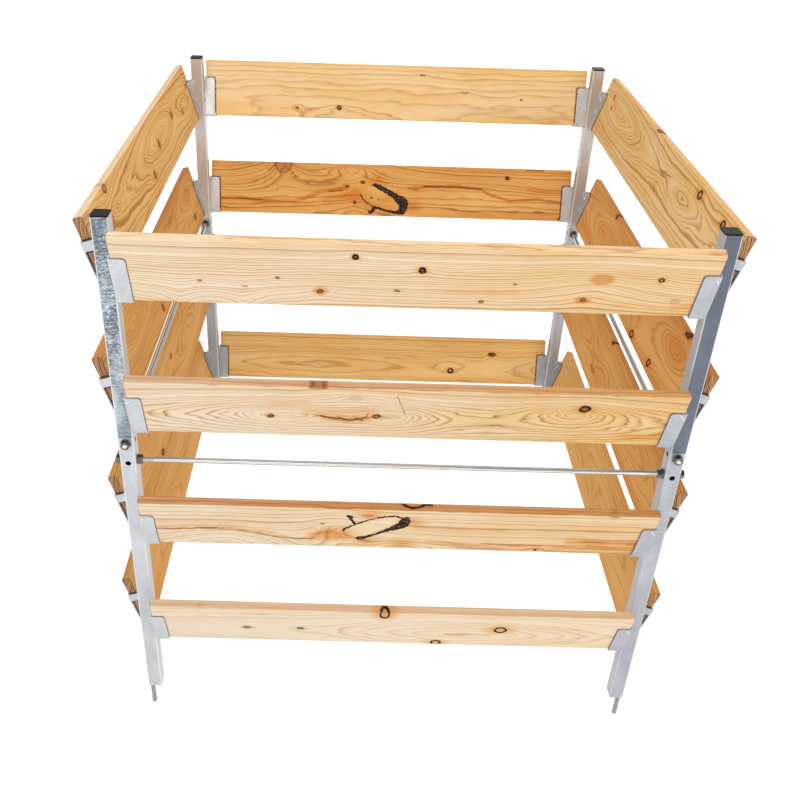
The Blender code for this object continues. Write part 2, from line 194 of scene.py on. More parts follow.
class StudioSettings(bpy.types.PropertyGroup):
    floor: colour_setting("Floor", "Floor round the bin", 0xF4F4F4)
    floor_size: length_setting("Floor size", "Side of the floor", 60.0)
    sky: bpy.props.FloatProperty(
        name="Sky", description="Brightness of the light from all round", default=0.42, min=0.0)
    key: lamp_setting("Key", "Power of the large soft lamp over the front left", 62.0)
    fill: lamp_setting("Fill", "Power of the soft lamp on the right", 26.0)
    back: lamp_setting("Back", "Power of the soft lamp behind the bin", 24.0)
    top: lamp_setting("Top", "Power of the soft lamp over the bin", 50.0)


# Nodes

class Sheet:
    """Adds nodes to a node tree. An input is given as a value or as another node's socket."""

    def __init__(self, tree):
        self.tree = tree

    def node(self, kind, inputs=None, **settings):
        """A new node of a kind, with its settings set before its inputs are fed."""
        made = self.tree.nodes.new(kind)
        for name, value in settings.items():
            setattr(made, name, value)
        for name, value in (inputs or {}).items():
            self.feed(made.inputs[name], value)
        return made

    def feed(self, socket, value):
        """Link a socket to another node's, or set its own value."""
        if isinstance(value, bpy.types.NodeSocket):
            self.tree.links.new(value, socket)
        elif socket.type == "RGBA" and len(value) == 3:
            socket.default_value = (*value, 1)
        else:
            socket.default_value = value

    def maths(self, operation, *values, clamp=False):
        made = self.node("ShaderNodeMath", operation=operation, use_clamp=clamp)
        for socket, value in zip(made.inputs, values):
            self.feed(socket, value)
        return made.outputs[0]

    def vector(self, operation, *values):
        made = self.node("ShaderNodeVectorMath", operation=operation)
        for socket, value in zip(made.inputs, values):
            self.feed(socket, value)
        return made.outputs["Value" if operation in ("LENGTH", "DOT_PRODUCT") else 0]

    def times(self, first, *others):
        """The product of two or more values."""
        for other in others:
            first = self.maths("MULTIPLY", first, other)
        return first

    def swung(self, base, swing, reach, clamp=False):
        """A base moved to either side by a swing from 0 to 1, by half the reach at most."""
        return self.maths(
            "MULTIPLY_ADD", self.maths("SUBTRACT", swing, 0.5), reach, base, clamp=clamp)

    def apart(self, value, mark):
        """How far a value is from a mark, to either side."""
        return self.maths("ABSOLUTE", self.maths("SUBTRACT", value, mark))

    def split(self, vector):
        made = self.node("ShaderNodeSeparateXYZ", {"Vector": vector})
        return made.outputs[0], made.outputs[1], made.outputs[2]

    def join(self, x, y, z):
        return self.node("ShaderNodeCombineXYZ", {"X": x, "Y": y, "Z": z}).outputs[0]

    def mix(self, factor, first, second, blend="MIX"):
        made = self.node("ShaderNodeMix", data_type="RGBA", blend_type=blend)
        self.feed(made.inputs[0], factor)
        self.feed(made.inputs[6], first)
        self.feed(made.inputs[7], second)
        return made.outputs[2]

    def remap(self, value, low, high, to_low=0.0, to_high=1.0, smooth=True):
        """From to_low at low to to_high at high, and level beyond them."""
        made = self.node("ShaderNodeMapRange", {
            "Value": value, "From Min": low, "From Max": high,
            "To Min": to_low, "To Max": to_high,
        }, interpolation_type="SMOOTHSTEP" if smooth else "LINEAR")
        return made.outputs[0]

    def ramp(self, value, stops):
        """A curve of grey levels through stops of place and level."""
        made = self.node("ShaderNodeValToRGB", {"Fac": value})
        points = made.color_ramp.elements
        while len(points) < len(stops):
            points.new(0.5)
        for point, (place, level) in zip(points, stops):
            point.position = place
            point.color = (level, level, level, 1)
        return made.outputs[0]

    def noise(self, vector, scale, detail=2.0, roughness=0.5):
        """Noise from 0 to 1, with one scale or with a scale for each axis."""
        if isinstance(scale, tuple):
            vector, scale = self.vector("MULTIPLY", vector, scale), 1.0
        made = self.node("ShaderNodeTexNoise", {
            "Vector": vector, "Scale": scale, "Detail": detail, "Roughness": roughness})
        return made.outputs[0]

    def noise_vector(self, vector, scale, detail):
        """Three noises at once, each from 0 to 1."""
        made = self.node("ShaderNodeTexNoise", {
            "Vector": vector, "Scale": scale, "Detail": detail})
        return made.outputs[1]

    def attribute(self, name):
        """A weight that the mesh holds for each of its vertices."""
        return self.node("ShaderNodeAttribute", attribute_name=name).outputs["Fac"]

    def bump(self, height, strength, depth):
        """The normals of fine relief, up to depth metres deep."""
        made = self.node("ShaderNodeBump", {
            "Strength": strength, "Distance": depth, "Height": height})
        return made.outputs[0]


def new_material(name):
    """An empty material with its sheet, its Principled shader and its object coordinates."""
    material = bpy.data.materials.new(name)
    material.use_nodes = True
    sheet = Sheet(material.node_tree)
    shader = material.node_tree.nodes["Principled BSDF"]
    place = sheet.node("ShaderNodeTexCoord").outputs["Object"]
    return material, sheet, shader, place


# Groups of nodes that every board's grain is made of

FLOAT, VECTOR = "NodeSocketFloat", "NodeSocketVector"

# Darkness of the wood through one year's ring, as stops of place and level
YEAR_STOPS = [(0.0, 0.28), (0.05, 0.0), (0.48, 0.05), (0.74, 0.32), (0.90, 1.0), (1.0, 0.5)]


def new_group(name, inputs, outputs):
    """A node group with its sheet, its input sockets by name and its output node."""
    tree = bpy.data.node_groups.new(name, "ShaderNodeTree")
    for socket_name, kind in inputs.items():
        tree.interface.new_socket(socket_name, in_out="INPUT", socket_type=kind)
    for socket_name, kind in outputs.items():
        tree.interface.new_socket(socket_name, in_out="OUTPUT", socket_type=kind)
    sheet = Sheet(tree)
    given = tree.nodes.new("NodeGroupInput").outputs
    result = tree.nodes.new("NodeGroupOutput").inputs
    return tree, sheet, given, result


def sizes_away(sheet, given):
    """How far Place is from Centre on each axis, counted in Size."""
    away = sheet.vector("SUBTRACT", given["Place"], given["Centre"])
    return sheet.vector("DIVIDE", away, given["Size"])


def swell_group():
    """Lifts the rings round a place, as a hidden branch does."""
    tree, sheet, given, result = new_group(
        "Grain swell",
        {"Place": VECTOR, "Centre": VECTOR, "Size": VECTOR, "Lift": FLOAT, "Peak": FLOAT,
         "So far": FLOAT},
        {"Sum": FLOAT})
    x, _, z = sheet.split(sheet.vector("ABSOLUTE", sizes_away(sheet, given)))
    # These powers draw the swell out along the board, a little pointed at its ends
    along, across = sheet.maths("POWER", x, 1.8), sheet.maths("POWER", z, 1.6)
    distance = sheet.maths("POWER", sheet.maths("ADD", along, across), 1 / 1.7)
    falloff = sheet.times(sheet.maths("POWER", distance, given["Peak"]), -1.0)
    falloff = sheet.maths("EXPONENT", falloff)
    total = sheet.maths("MULTIPLY_ADD", falloff, given["Lift"], given["So far"])
    sheet.feed(result["Sum"], total)
    return tree


def knot_group():
    """A knot: its wood, the dark line of bark round it and the warm wood beside it."""
    rim_at = 0.92  # of the knot's own size
    widest_rim = 0.0072
    tree, sheet, given, result = new_group(
        "Knot",
        {"Place": VECTOR, "Centre": VECTOR, "Size": VECTOR, "Wood": FLOAT, "Rim": FLOAT,
         "Wood so far": FLOAT, "Rim so far": FLOAT, "Halo so far": FLOAT},
        {"Wood sum": FLOAT, "Rim sum": FLOAT, "Halo sum": FLOAT})
    offset = sizes_away(sheet, given)
    distance = sheet.vector("LENGTH", offset)
    inside = sheet.times(sheet.remap(distance, 1.25, 0.70), given["Wood"])
    sheet.feed(result["Wood sum"], sheet.maths("MAXIMUM", inside, given["Wood so far"]))

    long, _, high = sheet.split(given["Size"])
    width = sheet.maths("ADD", long, high)
    from_rim = sheet.times(sheet.apart(distance, rim_at), width)
    reach = sheet.maths("MINIMUM", sheet.times(width, 0.72), widest_rim)
    line = sheet.remap(sheet.maths("DIVIDE", from_rim, reach), 1.0, 0.5)
    rim = sheet.times(line, given["Rim"])
    sheet.feed(result["Rim sum"], sheet.maths("MAXIMUM", rim, given["Rim so far"]))

    drawn_out = sheet.vector("LENGTH", sheet.vector("MULTIPLY", offset, (0.6, 1.0, 1.0)))
    halo = sheet.times(sheet.remap(drawn_out, 2.3, 0.8), given["Rim"])
    sheet.feed(result["Halo sum"], sheet.maths("MAXIMUM", halo, given["Halo so far"]))
    return tree


def line_group():
    """A straight piece of a crack or a streak, as seen on either face of a board."""
    tree, sheet, given, result = new_group(
        "Grain line",
        {"Place": VECTOR, "Start": VECTOR, "Along": VECTOR, "Per square": FLOAT,
         "Half width": FLOAT, "Strength": FLOAT, "So far": FLOAT},
        {"Sum": FLOAT})
    flat = sheet.vector("MULTIPLY", given["Place"], (1.0, 0.0, 1.0))
    offset = sheet.vector("SUBTRACT", flat, given["Start"])
    passed = sheet.vector("DOT_PRODUCT", offset, given["Along"])
    share = sheet.maths("MULTIPLY", passed, given["Per square"], clamp=True)
    nearest = sheet.vector("MULTIPLY", given["Along"], sheet.join(share, share, share))
    distance = sheet.vector("LENGTH", sheet.vector("SUBTRACT", offset, nearest))
    line = sheet.remap(sheet.maths("DIVIDE", distance, given["Half width"]), 1.0, 0.0)
    line = sheet.times(line, given["Strength"])
    sheet.feed(result["Sum"], sheet.maths("MAXIMUM", line, given["So far"]))
    return tree


def ring_group():
    """Growth rings of a trunk whose heart runs near the board."""
    ripple = 0.0040  # of the rings' finest waves
    unevenness = 1.8  # of the years, in rings
    tree, sheet, given, result = new_group(
        "Growth rings",
        {"Place": VECTOR, "Heart": VECTOR, "Spacing": FLOAT, "Wave": FLOAT, "Lift": FLOAT},
        {"Late": FLOAT, "Year": FLOAT})
    from_heart = sheet.vector("SUBTRACT", given["Place"], given["Heart"])
    from_heart = sheet.vector("MULTIPLY", from_heart, (0.0, 1.0, 1.0))
    radius = sheet.vector("LENGTH", from_heart)
    broad = sheet.noise(given["Place"], (4.0, 16.0, 16.0), 1.0)
    fine = sheet.noise(given["Place"], (14.0, 75.0, 75.0), 1.0)
    radius = sheet.swung(radius, broad, given["Wave"])
    radius = sheet.swung(radius, fine, ripple)
    turns = sheet.maths("DIVIDE", sheet.maths("ADD", radius, given["Lift"]), given["Spacing"])
    uneven = sheet.node("ShaderNodeTexNoise", {
        "W": sheet.times(turns, 0.45), "Scale": 1.0, "Detail": 1.0,
    }, noise_dimensions="1D").outputs[0]
    turns = sheet.maths("MULTIPLY_ADD", uneven, unevenness, turns)
    late = sheet.ramp(sheet.maths("FRACT", turns), YEAR_STOPS)
    year = sheet.node("ShaderNodeTexWhiteNoise", {
        "W": sheet.maths("FLOOR", turns),
    }, noise_dimensions="1D").outputs[0]
    strength = sheet.remap(year, 0.0, 1.0, 0.55, 1.1, smooth=False)
    sheet.feed(result["Late"], sheet.times(late, strength))
    sheet.feed(result["Year"], year)
    return tree


# Boards

class Board:
    """What is special to one board. Its places and sizes are in millimetres.

    warmth: from 0, pale, by 0.5, golden, to 1, red; drift is its change for each metre along
    heart: where the trunk's heart passes the board's section, as Y and Z
    spacing: between rings, and wave: how far they wander
    contrast: of the late wood, and heartwood: of the red patches along the grain, from 0 to 1
    edge: how much darker brown the upper edge is, from 0 to 1, or how much paler, from 0 to -1
    knots: X, Z, half length, half height, wood, rim, and where given Y and half depth
    swells: X, Z, half length, half height, lift, and where given how pointed the rings are
    cracks, streaks: points as X and Z, width, strength
    """

    def __init__(self, warmth, heart, spacing=5.0, wave=5.0, contrast=0.7, drift=0.0,
                 heartwood=0.3, edge=0.4, knots=(), swells=(), cracks=(), streaks=()):
        self.warmth = warmth
        self.heart = heart
        self.spacing = spacing
        self.wave = wave
        self.contrast = contrast
        self.drift = drift
        self.heartwood = heartwood
        self.edge = edge
        self.knots = knots
        self.swells = swells
        self.cracks = cracks
        self.streaks = streaks


BOARDS = {
    "front_board_4": Board(
        0.20, (50, -160), spacing=5.0, wave=7.0, contrast=0.95, drift=0.34, heartwood=0.2,
        edge=0.28,
        knots=[
            (-98, 115, 3.8, 4.6, 0.8, 1.0), (-355, 53, 3.2, 2.6, 0.7, 0.35),
            (-225, 64, 3.5, 2.6, 0.7, 0.35), (-281, 43, 3.5, 1.2, 0.0, 0.5),
            (-155, 37, 14, 10, 0.5, 0.0), (-155, 36, 4.4, 3.6, 0.6, 0.65),
            (-27, 42, 3.6, 2.2, 0.5, 0.6), (12, 90, 4.8, 5.6, 0.9, 1.0),
            (167, 65, 2.6, 2.2, 0.6, 0.3), (116, 23, 3.5, 3.0, 0.7, 0.5),
            (308, 81, 21, 13, 0.62, 0.0), (285, 32, 15, 9, 0.5, 0.0),
            (286, 33, 4.2, 3.6, 0.5, 0.55), (405, 83, 3.8, 4.2, 0.1, 0.85),
            (440, 36, 6, 4, 0.1, 0.2)],
        swells=[
            (-393, -4, 34, 40, 34, 1.0), (-285, -6, 36, 40, 34, 1.0), (302, 62, 90, 46, -26, 1.4),
            (-155, 34, 34, 16, -6), (12, 90, 30, 12, -3), (405, 83, 26, 10, -3),
            (-98, 115, 26, 10, -3)],
        streaks=[
            ([(60, 44), (170, 42)], 30.0, 0.2), ([(-490, 4), (-400, 3)], 12.0, 0.6),
            ([(440, 22), (490, 30)], 22.0, 0.5)]),
    "front_board_3": Board(
        0.20, (150, 50), spacing=2.8, wave=5.0, contrast=0.95, drift=0.58, heartwood=0.3,
        edge=0.64,
        knots=[
            (-242, 57, 4.2, 4.2, 0.7, 0.8), (-51, 64, 6.0, 5.0, 0.6, 0.7),
            (317, 101, 9.0, 8.0, 0.95, 0.9), (-90, 113, 12, 7, 0.15, 0.1),
            (-156, 139, 14, 3, 0.5, 0.4)],
        swells=[
            (-215, 62, 170, 40, -36, 1.1), (-20, 64, 80, 40, -22, 1.1),
            (300, 82, 110, 40, -28, 1.1), (-100, 118, 60, 16, -9), (317, 101, 22, 12, -4)],
        cracks=[
            ([(-152, 61), (-128, 55), (-112, 55), (-100, 50), (-86, 54), (-76, 51)], 6.6, 1.0),
            ([(-80, 54), (-72, 60), (-66, 70)], 5.0, 0.8), ([(-112, 55), (-122, 62)], 4.0, 0.7),
            ([(-17, 124), (-9, 100), (0, 73)], 2.6, 0.8)],
        streaks=[
            ([(-155, 62), (-104, 50), (-66, 60)], 30.0, 0.9),
            ([(-175, 72), (-60, 76)], 40.0, 0.45), ([(-240, 92), (-180, 96)], 36.0, 0.35),
            ([(-480, 56), (-430, 52)], 20.0, 0.5), ([(400, 26), (470, 22)], 24.0, 0.45)]),
    "front_board_2": Board(
        0.18, (180, -20), spacing=6.0, wave=5.0, contrast=0.75, drift=0.34, heartwood=0.45,
        edge=0.92,
        knots=[
            (278, 9, 2.6, 2.6, 0.5, 1.0), (410, 137, 8, 2, 0.6, 0.2), (-58, 118, 12, 4, 0.6, 0.0),
            (-146, 86, 2.5, 2.5, 0.3, 0.5)],
        swells=[
            (-345, -2, 100, 50, -34, 1.5), (-120, 74, 44, 46, -24, 1.3),
            (-175, 20, 60, 34, 9, 1.5), (10, 2, 50, 26, -12, 1.2)],
        cracks=[
            ([(-398, 58), (-365, 61), (-340, 60)], 4.6, 0.9),
            ([(-490, 49), (-440, 52), (-392, 57), (-317, 54), (-280, 45), (-243, 33), (-205, 28),
              (-168, 29)], 4.2, 0.7),
            ([(170, 28), (290, 26)], 4.2, 0.7), ([(330, 22), (490, 15)], 5.0, 0.5)],
        streaks=[
            ([(-490, 50), (-440, 54), (-392, 61), (-317, 59), (-280, 49), (-243, 37), (-205, 31),
              (-168, 31)], 12.0, 0.95),
            ([(-470, 56), (-392, 70), (-317, 67), (-243, 48)], 26.0, 0.5),
            ([(-168, 31), (-150, 52), (-125, 62)], 26.0, 0.8),
            ([(-165, 40), (-100, 38)], 44.0, 0.6),
            ([(60, 30), (150, 24), (240, 26), (330, 28), (420, 36)], 12.0, 0.85),
            ([(340, 46), (490, 42)], 40.0, 0.95), ([(380, 26), (490, 24)], 26.0, 0.8),
            ([(200, 12), (470, 20)], 26.0, 0.4), ([(40, 80), (200, 78)], 30.0, 0.3)]),
    "front_board_1": Board(
        0.02, (300, 54), spacing=5.4, wave=4.0, contrast=0.45, drift=0.26, heartwood=0.15,
        edge=0.58,
        knots=[
            (-302, 59, 6.5, 5, 0.3, 0.5), (-190, 60, 5.5, 4.2, 0.4, 0.7),
            (-302, 58, 3, 2, 0.5, 0.8), (-15.5, 132, 10, 16, 0.2, 1.0, 0, 17),
            (99, 10, 10.5, 10, 0.1, 1.0), (229, 76, 12.5, 12, 0.12, 1.0),
            (119, 49, 16, 5, 0.35, 0.0)],
        swells=[
            (150, 52, 250, 58, -28, 2), (-302, 59, 30, 10, -3), (-190, 60, 30, 10, -3),
            (-15, 140, 40, 30, 8)],
        streaks=[([(-490, 135), (-300, 137)], 4.0, 0.5)]),
    "rear_board_4": Board(
        0.42, (220, 25), spacing=4.6, wave=9.0, contrast=0.55, heartwood=0.2, edge=0.2,
        drift=-0.04,
        knots=[
            (148, 28, 4.6, 4.6, 0.6, 0.9), (258, 25, 4, 2.6, 0.5, 0.6),
            (-68, 116, 5, 1.6, 0.2, 0.7), (-180, 75, 8, 2.2, 0.1, 0.35),
            (-329, 62, 2.2, 2.2, 0.5, 0.7), (281, 68, 22, 8, 0.20, 0.0)],
        swells=[(110, -16, 170, 42, -14, 2), (-250, 80, 120, 40, 3), (250, 30, 60, 20, -3)],
        streaks=[([(200, 26), (300, 22)], 14.0, 0.35), ([(240, 6), (430, 4)], 9.0, 0.4)]),
    "rear_board_3": Board(
        0.76, (140, -10), spacing=5.0, wave=6.0, contrast=0.90, heartwood=0.8, edge=0.4,
        knots=[
            (-320, 114, 4.0, 4.0, 0.8, 0.9), (100, 36, 3, 3, 0.8, 0.9), (79, 91, 4, 3, 0.7, 0.9),
            (122, 80, 4, 3, 0.7, 0.7), (54, 50, 2.4, 2.4, 0.5, 0.6), (34, 46, 2, 2, 0.4, 0.4),
            (299, 137, 24, 26, 0.35, 0.4), (-474, 6, 4, 3, 0.5, 0.9)],
        swells=[
            (110, 128, 130, 34, -44, 1.2), (297, 136, 56, 44, -34, 1.1),
            (95, -4, 60, 34, -12, 1.0), (-200, 90, 200, 22, -10, 1.6), (300, 60, 200, 40, 8, 2)],
        cracks=[
            ([(-420, 137), (-370, 136)], 5.0, 0.9), ([(318, 138), (340, 116)], 4.6, 1.0),
            ([(292, 136), (300, 118)], 4.0, 0.8), ([(-250, 82), (-177, 86), (-90, 85)], 5.0, 0.9),
            ([(-478, 51), (-400, 60), (-329, 53)], 3.6, 0.5),
            ([(60, 84), (36, 96), (8, 90)], 3.6, 0.6), ([(135, 68), (172, 64)], 5.0, 0.9),
            ([(355, 37), (470, 39)], 4.4, 0.8)],
        streaks=[
            ([(-51, 77), (-120, 85), (-177, 86), (-252, 81), (-275, 66), (-329, 52), (-400, 60),
              (-478, 50)], 18.0, 1.0),
            ([(120, 78), (190, 62), (268, 36), (370, 37), (480, 40)], 22.0, 1.0),
            ([(-490, 76), (-380, 84)], 24.0, 0.6), ([(-20, 60), (60, 20)], 50.0, 0.5),
            ([(100, 60), (180, 40)], 44.0, 0.6), ([(-490, 130), (-300, 136)], 10.0, 0.7),
            ([(380, 132), (490, 118)], 10.0, 0.6)]),
    "rear_board_2": Board(
        0.70, (140, 30), spacing=4.6, wave=8.0, contrast=0.6, heartwood=0.4,
        knots=[(-210, 84, 8, 7, 0.8, 0.8), (130, 42, 5, 5, 0.6, 0.9)],
        swells=[(-210, 84, 90, 34, -18, 1.2), (200, 60, 160, 30, -12)]),
    "rear_board_1": Board(
        0.56, (140, 40), spacing=4.4, wave=6.0, contrast=0.70, heartwood=0.25, edge=0.2,
        knots=[
            (-210, 38, 7.5, 7, 0.3, 1.0), (-338, 92, 6, 5, 0.9, 0.9), (-328, 92, 4, 4, 0.6, 0.9),
            (-16, 72, 7, 1.6, 0.4, 0.2)],
        swells=[
            (185, 52, 260, 30, -9, 2.4), (-500, 48, 60, 40, -16, 1.1), (-200, 60, 60, 22, -5)],
        streaks=[([(-300, 66), (-60, 60)], 16.0, 0.25)]),
    "left_board_4": Board(
        0.60, (150, 80), spacing=3.8, wave=9.0, contrast=1.0, heartwood=0.35, edge=-0.5,
        knots=[
            (-238, 85, 11, 9, 0.75, 0.3), (-62, 73, 9, 8, 0.85, 0.4), (46, 41, 9, 8, 0.8, 0.4),
            (-344, 61, 9, 7, 0.6, 0.25), (350, 132, 9, 8, 0.3, 0.7), (-455, 92, 9, 5, 0.5, 0.3)],
        swells=[
            (-110, 88, 190, 44, -42, 1.1), (329, 88, 30, 16, -8, 2), (360, 150, 60, 50, 18),
            (-400, 60, 90, 50, -14), (46, 41, 40, 16, -6), (-238, 80, 60, 30, 10)],
        streaks=[
            ([(30, 8), (220, 10)], 14.0, 0.75), ([(90, 46), (200, 62)], 12.0, 0.45),
            ([(-490, 60), (-420, 70)], 14.0, 0.4)]),
    "left_board_3": Board(
        0.78, (150, 100), spacing=4.6, wave=9.0, contrast=0.66, heartwood=0.5,
        knots=[
            (-387, 37, 10, 7, 0.6, 0.6), (102, 25, 6, 7, 0.5, 0.7),
            (-392, 104, 30, 16, 0.40, 0.0)],
        swells=[(-392, 100, 90, 40, -20), (290, 96, 100, 36, -30), (0, 60, 160, 30, -10)]),
    "left_board_2": Board(
        0.72, (150, 80), spacing=4.8, wave=9.0, contrast=0.62, heartwood=0.4,
        knots=[(252, 10, 8, 5, 0.7, 0.9), (-25, 96, 9, 4, 0.5, 0.5)],
        swells=[(300, 76, 110, 36, -30, 1.2), (-200, 60, 140, 40, -20)]),
    "left_board_1": Board(
        0.70, (140, 30), spacing=5.0, wave=9.0, contrast=0.5, heartwood=0.3,
        knots=[(180, 64, 8, 5, 0.7, 0.7)],
        swells=[(180, 64, 90, 34, -16, 1.2)]),
    "right_board_4": Board(
        0.47, (140, 80), spacing=3.6, wave=9.0, contrast=0.95, heartwood=0.2, edge=0.25,
        drift=0.1,
        knots=[
            (-266, 119, 9, 8, 0.12, 0.95), (59, 140, 9, 2.5, 0.3, 1.0),
            (-402, 117, 8, 7, 0.3, 0.9), (397, 102, 16, 9, 0.40, 0.0), (405, 84, 6, 4, 0.5, 0.3),
            (420, 108, 7, 5, 0.4, 0.4)],
        swells=[
            (-205, 88, 80, 28, -14, 1.8), (330, 93, 210, 46, -34, 1.3), (-266, 119, 20, 12, 4)],
        streaks=[([(-68, 88), (-50, 86)], 14.0, 0.35)]),
    "right_board_3": Board(
        0.80, (150, 74), spacing=4.6, wave=9.0, contrast=0.66, heartwood=0.45, edge=0.6,
        knots=[
            (242, 136, 6, 6, 0.7, 0.8), (-141, 13, 10, 7, 0.2, 0.9), (-272, 20, 8, 7, 0.2, 0.9),
            (-352, 138, 9, 4, 0.8, 1.0), (-347, 98, 50, 22, 0.30, 0.0)],
        swells=[
            (243, 76, 90, 40, -30, 1.2), (-347, 98, 100, 40, -30, 1.2), (-200, 8, 90, 30, -16)],
        streaks=[([(240, 74), (300, 78)], 20.0, 0.35)]),
    "right_board_2": Board(
        0.78, (150, 60), spacing=4.8, wave=9.0, contrast=0.6, heartwood=0.45, edge=0.6,
        knots=[(118, 36, 22, 5, 0.6, 0.2), (84, 137, 5, 4, 0.8, 0.8)],
        swells=[
            (53, 42, 70, 34, -22, 1.2), (277, 74, 80, 34, -24, 1.2), (-240, 70, 140, 34, -18)]),
    "right_board_1": Board(
        0.66, (140, 84), spacing=5.0, wave=9.0, contrast=0.5, heartwood=0.25,
        knots=[(-150, 50, 7, 5, 0.7, 0.8)],
        swells=[(-150, 50, 110, 34, -18, 1.2)]),
}


class Grain:
    """Adds a board's grain to a sheet, one feature after another, in the board's own frame.

    ragged is the same place, shaken so that the outlines of knots and cracks aren't smooth.
    """

    def __init__(self, sheet, place, board, groups, wood):
        self.sheet = sheet
        self.board = board
        self.groups = groups
        self.wood = wood
        self.place = sheet.node("ShaderNodeVectorRotate", {
            "Vector": place, "Angle": -BOARD_TILT}, rotation_type="X_AXIS").outputs[0]
        reach = (0.0045, 0.0045, 0.0035)
        shake = sheet.noise_vector(self.place, 110.0, 2.0)
        shake = sheet.vector("SUBTRACT", shake, (0.5, 0.5, 0.5))
        self.ragged = sheet.vector("MULTIPLY_ADD", shake, reach, self.place)
        self.x, self.y, self.z = sheet.split(self.place)

    def group(self, kind, settings):
        """One of the groups of nodes, with its inputs fed."""
        node = self.sheet.node("ShaderNodeGroup", node_tree=self.groups[kind])
        for name, value in settings.items():
            self.sheet.feed(node.inputs[name], value)
        return node.outputs

    def swells(self, swells):
        """How far all the swells lift the rings."""
        lift = 0.0
        for x, z, long, high, height, *peak in swells:
            lift = self.group("swell", {
                "Place": self.place, "Centre": metres(x, 0, z), "Size": metres(long, 1000, high),
                "Lift": height / 1000, "Peak": peak[0] if peak else 1.5, "So far": lift})[0]
        return lift

    def knots(self, knots):
        """The wood, the rims and the warm surroundings of all the knots."""
        sums = (0.0, 0.0, 0.0)
        for x, z, long, high, inside, rim, *depth in knots:
            y, deep = depth or (9, 200)  # right through the board
            sums = self.group("knot", {
                "Place": self.ragged, "Centre": metres(x, y, z), "Size": metres(long, deep, high),
                "Wood": inside, "Rim": rim,
                "Wood so far": sums[0], "Rim so far": sums[1], "Halo so far": sums[2]})
        return sums

    def lines(self, place, lines):
        """How strongly all the cracks or all the streaks show."""
        total = 0.0
        for points, width, strength in lines:
            for start, end in zip(points[:-1], points[1:]):
                along = metres(end[0] - start[0], 0, end[1] - start[1])
                total = self.group("line", {
                    "Place": place, "Start": metres(start[0], 0, start[1]), "Along": along,
                    "Per square": 1 / (along[0] ** 2 + along[2] ** 2),
                    "Half width": width / 2000, "Strength": strength, "So far": total})[0]
        return total

    def rings(self):
        """How much late wood there is, and a number that each year has to itself."""
        board, sheet = self.board, self.sheet
        quiet = 0.2  # of the late wood, where a branch shows

        # The rings also bend round each knot that has a rim
        knot_swells = [(x, z, 3.0 * long + 6, 2.0 * high + 4, -3.0)
                       for x, z, long, high, _, rim, *_ in board.knots if rim > 0.3]
        late, year = self.group("rings", {
            "Place": self.place, "Heart": metres(0, *board.heart),
            "Spacing": board.spacing / 1000, "Wave": board.wave / 1000,
            "Lift": self.swells(list(board.swells) + knot_swells)})
        branch = sheet.attribute("branch")
        return sheet.times(late, sheet.remap(branch, 0.0, 1.0, 1.0, quiet)), year

    def clear_wood(self, late, year):
        """Early and late wood, pale, golden or red, and the late wood's colour."""
        board, sheet, wood = self.board, self.sheet, self.wood
        patchy = sheet.noise(self.place, (3.0, 14.0, 14.0), 2.0)
        warmth = sheet.maths("MULTIPLY_ADD", self.x, board.drift, board.warmth)
        warmth = sheet.swung(warmth, patchy, 0.60)
        warmth = sheet.swung(warmth, year, 0.10, clamp=True)
        to_golden = sheet.remap(warmth, 0.0, 0.5, smooth=False)
        to_red = sheet.remap(warmth, 0.5, 1.0, smooth=False)
        early_wood = sheet.mix(to_golden, wood.pale, wood.golden)
        early_wood = sheet.mix(to_red, early_wood, wood.red)
        late_wood = sheet.mix(warmth, wood.pale_ring, wood.red_ring)
        return sheet.mix(sheet.times(late, board.contrast), early_wood, late_wood), late_wood

    def flushed(self, amount, colour):
        """Redden wood: to a blush by half of the amount, then on to the heartwood's tone."""
        sheet, wood = self.sheet, self.wood
        faint = sheet.remap(amount, 0.0, 0.5, smooth=False)
        colour = sheet.mix(faint, colour, wood.blush, "MULTIPLY")
        return sheet.mix(sheet.remap(amount, 0.4, 1.0, 0.0, 0.8), colour, wood.heart)

    def heartwood(self, colour):
        """Reddish heartwood, in patches and in the board's own streaks."""
        board, sheet = self.board, self.sheet
        sway = 0.014  # of the streaks, up and down the board
        patches = sheet.noise(self.place, (1.6, 26.0, 26.0), 3.0, 0.6)
        red = sheet.times(sheet.remap(patches, 0.50, 0.78), board.heartwood)
        if board.streaks:
            drifting = sheet.noise(self.place, (14.0, 30.0, 30.0), 2.0)
            sideways = sheet.times(sheet.maths("SUBTRACT", drifting, 0.5), sway)
            swayed = sheet.vector("ADD", self.ragged, sheet.join(0.0, 0.0, sideways))
            streaks = self.lines(swayed, board.streaks)
            fibrous = sheet.noise(self.place, (11.0, 130.0, 130.0), 3.0, 0.6)
            streaks = sheet.times(streaks, sheet.remap(fibrous, 0.30, 0.62, 0.40, 1.0))
            red = sheet.maths("MAXIMUM", red, streaks)
        rimless = [knot for knot in board.knots if knot[5] == 0]
        if rimless:
            red = sheet.maths("MAXIMUM", red, self.knots(rimless)[0])
        return self.flushed(red, colour)

    def knots_and_cracks(self, colour):
        """The colour with rimmed knots and cracks, and how dark their lines are."""
        board, sheet, wood = self.board, self.sheet, self.wood
        dark = 0.0
        rimmed = [knot for knot in board.knots if knot[5] > 0]
        if rimmed:
            inside, dark, halo = self.knots(rimmed)
            colour = self.flushed(sheet.times(halo, 0.5), colour)
            colour = sheet.mix(inside, colour, wood.knot)
            broken = sheet.remap(sheet.noise(self.place, 160.0, 2.0), 0.35, 0.60, 0.75, 1.15)
            dark = sheet.maths("MULTIPLY", dark, broken, clamp=True)
        colour = sheet.mix(dark, colour, wood.bark)
        # A crack's dark is partly painted shade in its gap, partly resin and dirt
        if board.cracks:
            cracks = self.lines(self.ragged, board.cracks)
            colour = sheet.mix(cracks, colour, wood.crack)
            dark = sheet.maths("MAXIMUM", dark, cracks)
        return colour, dark

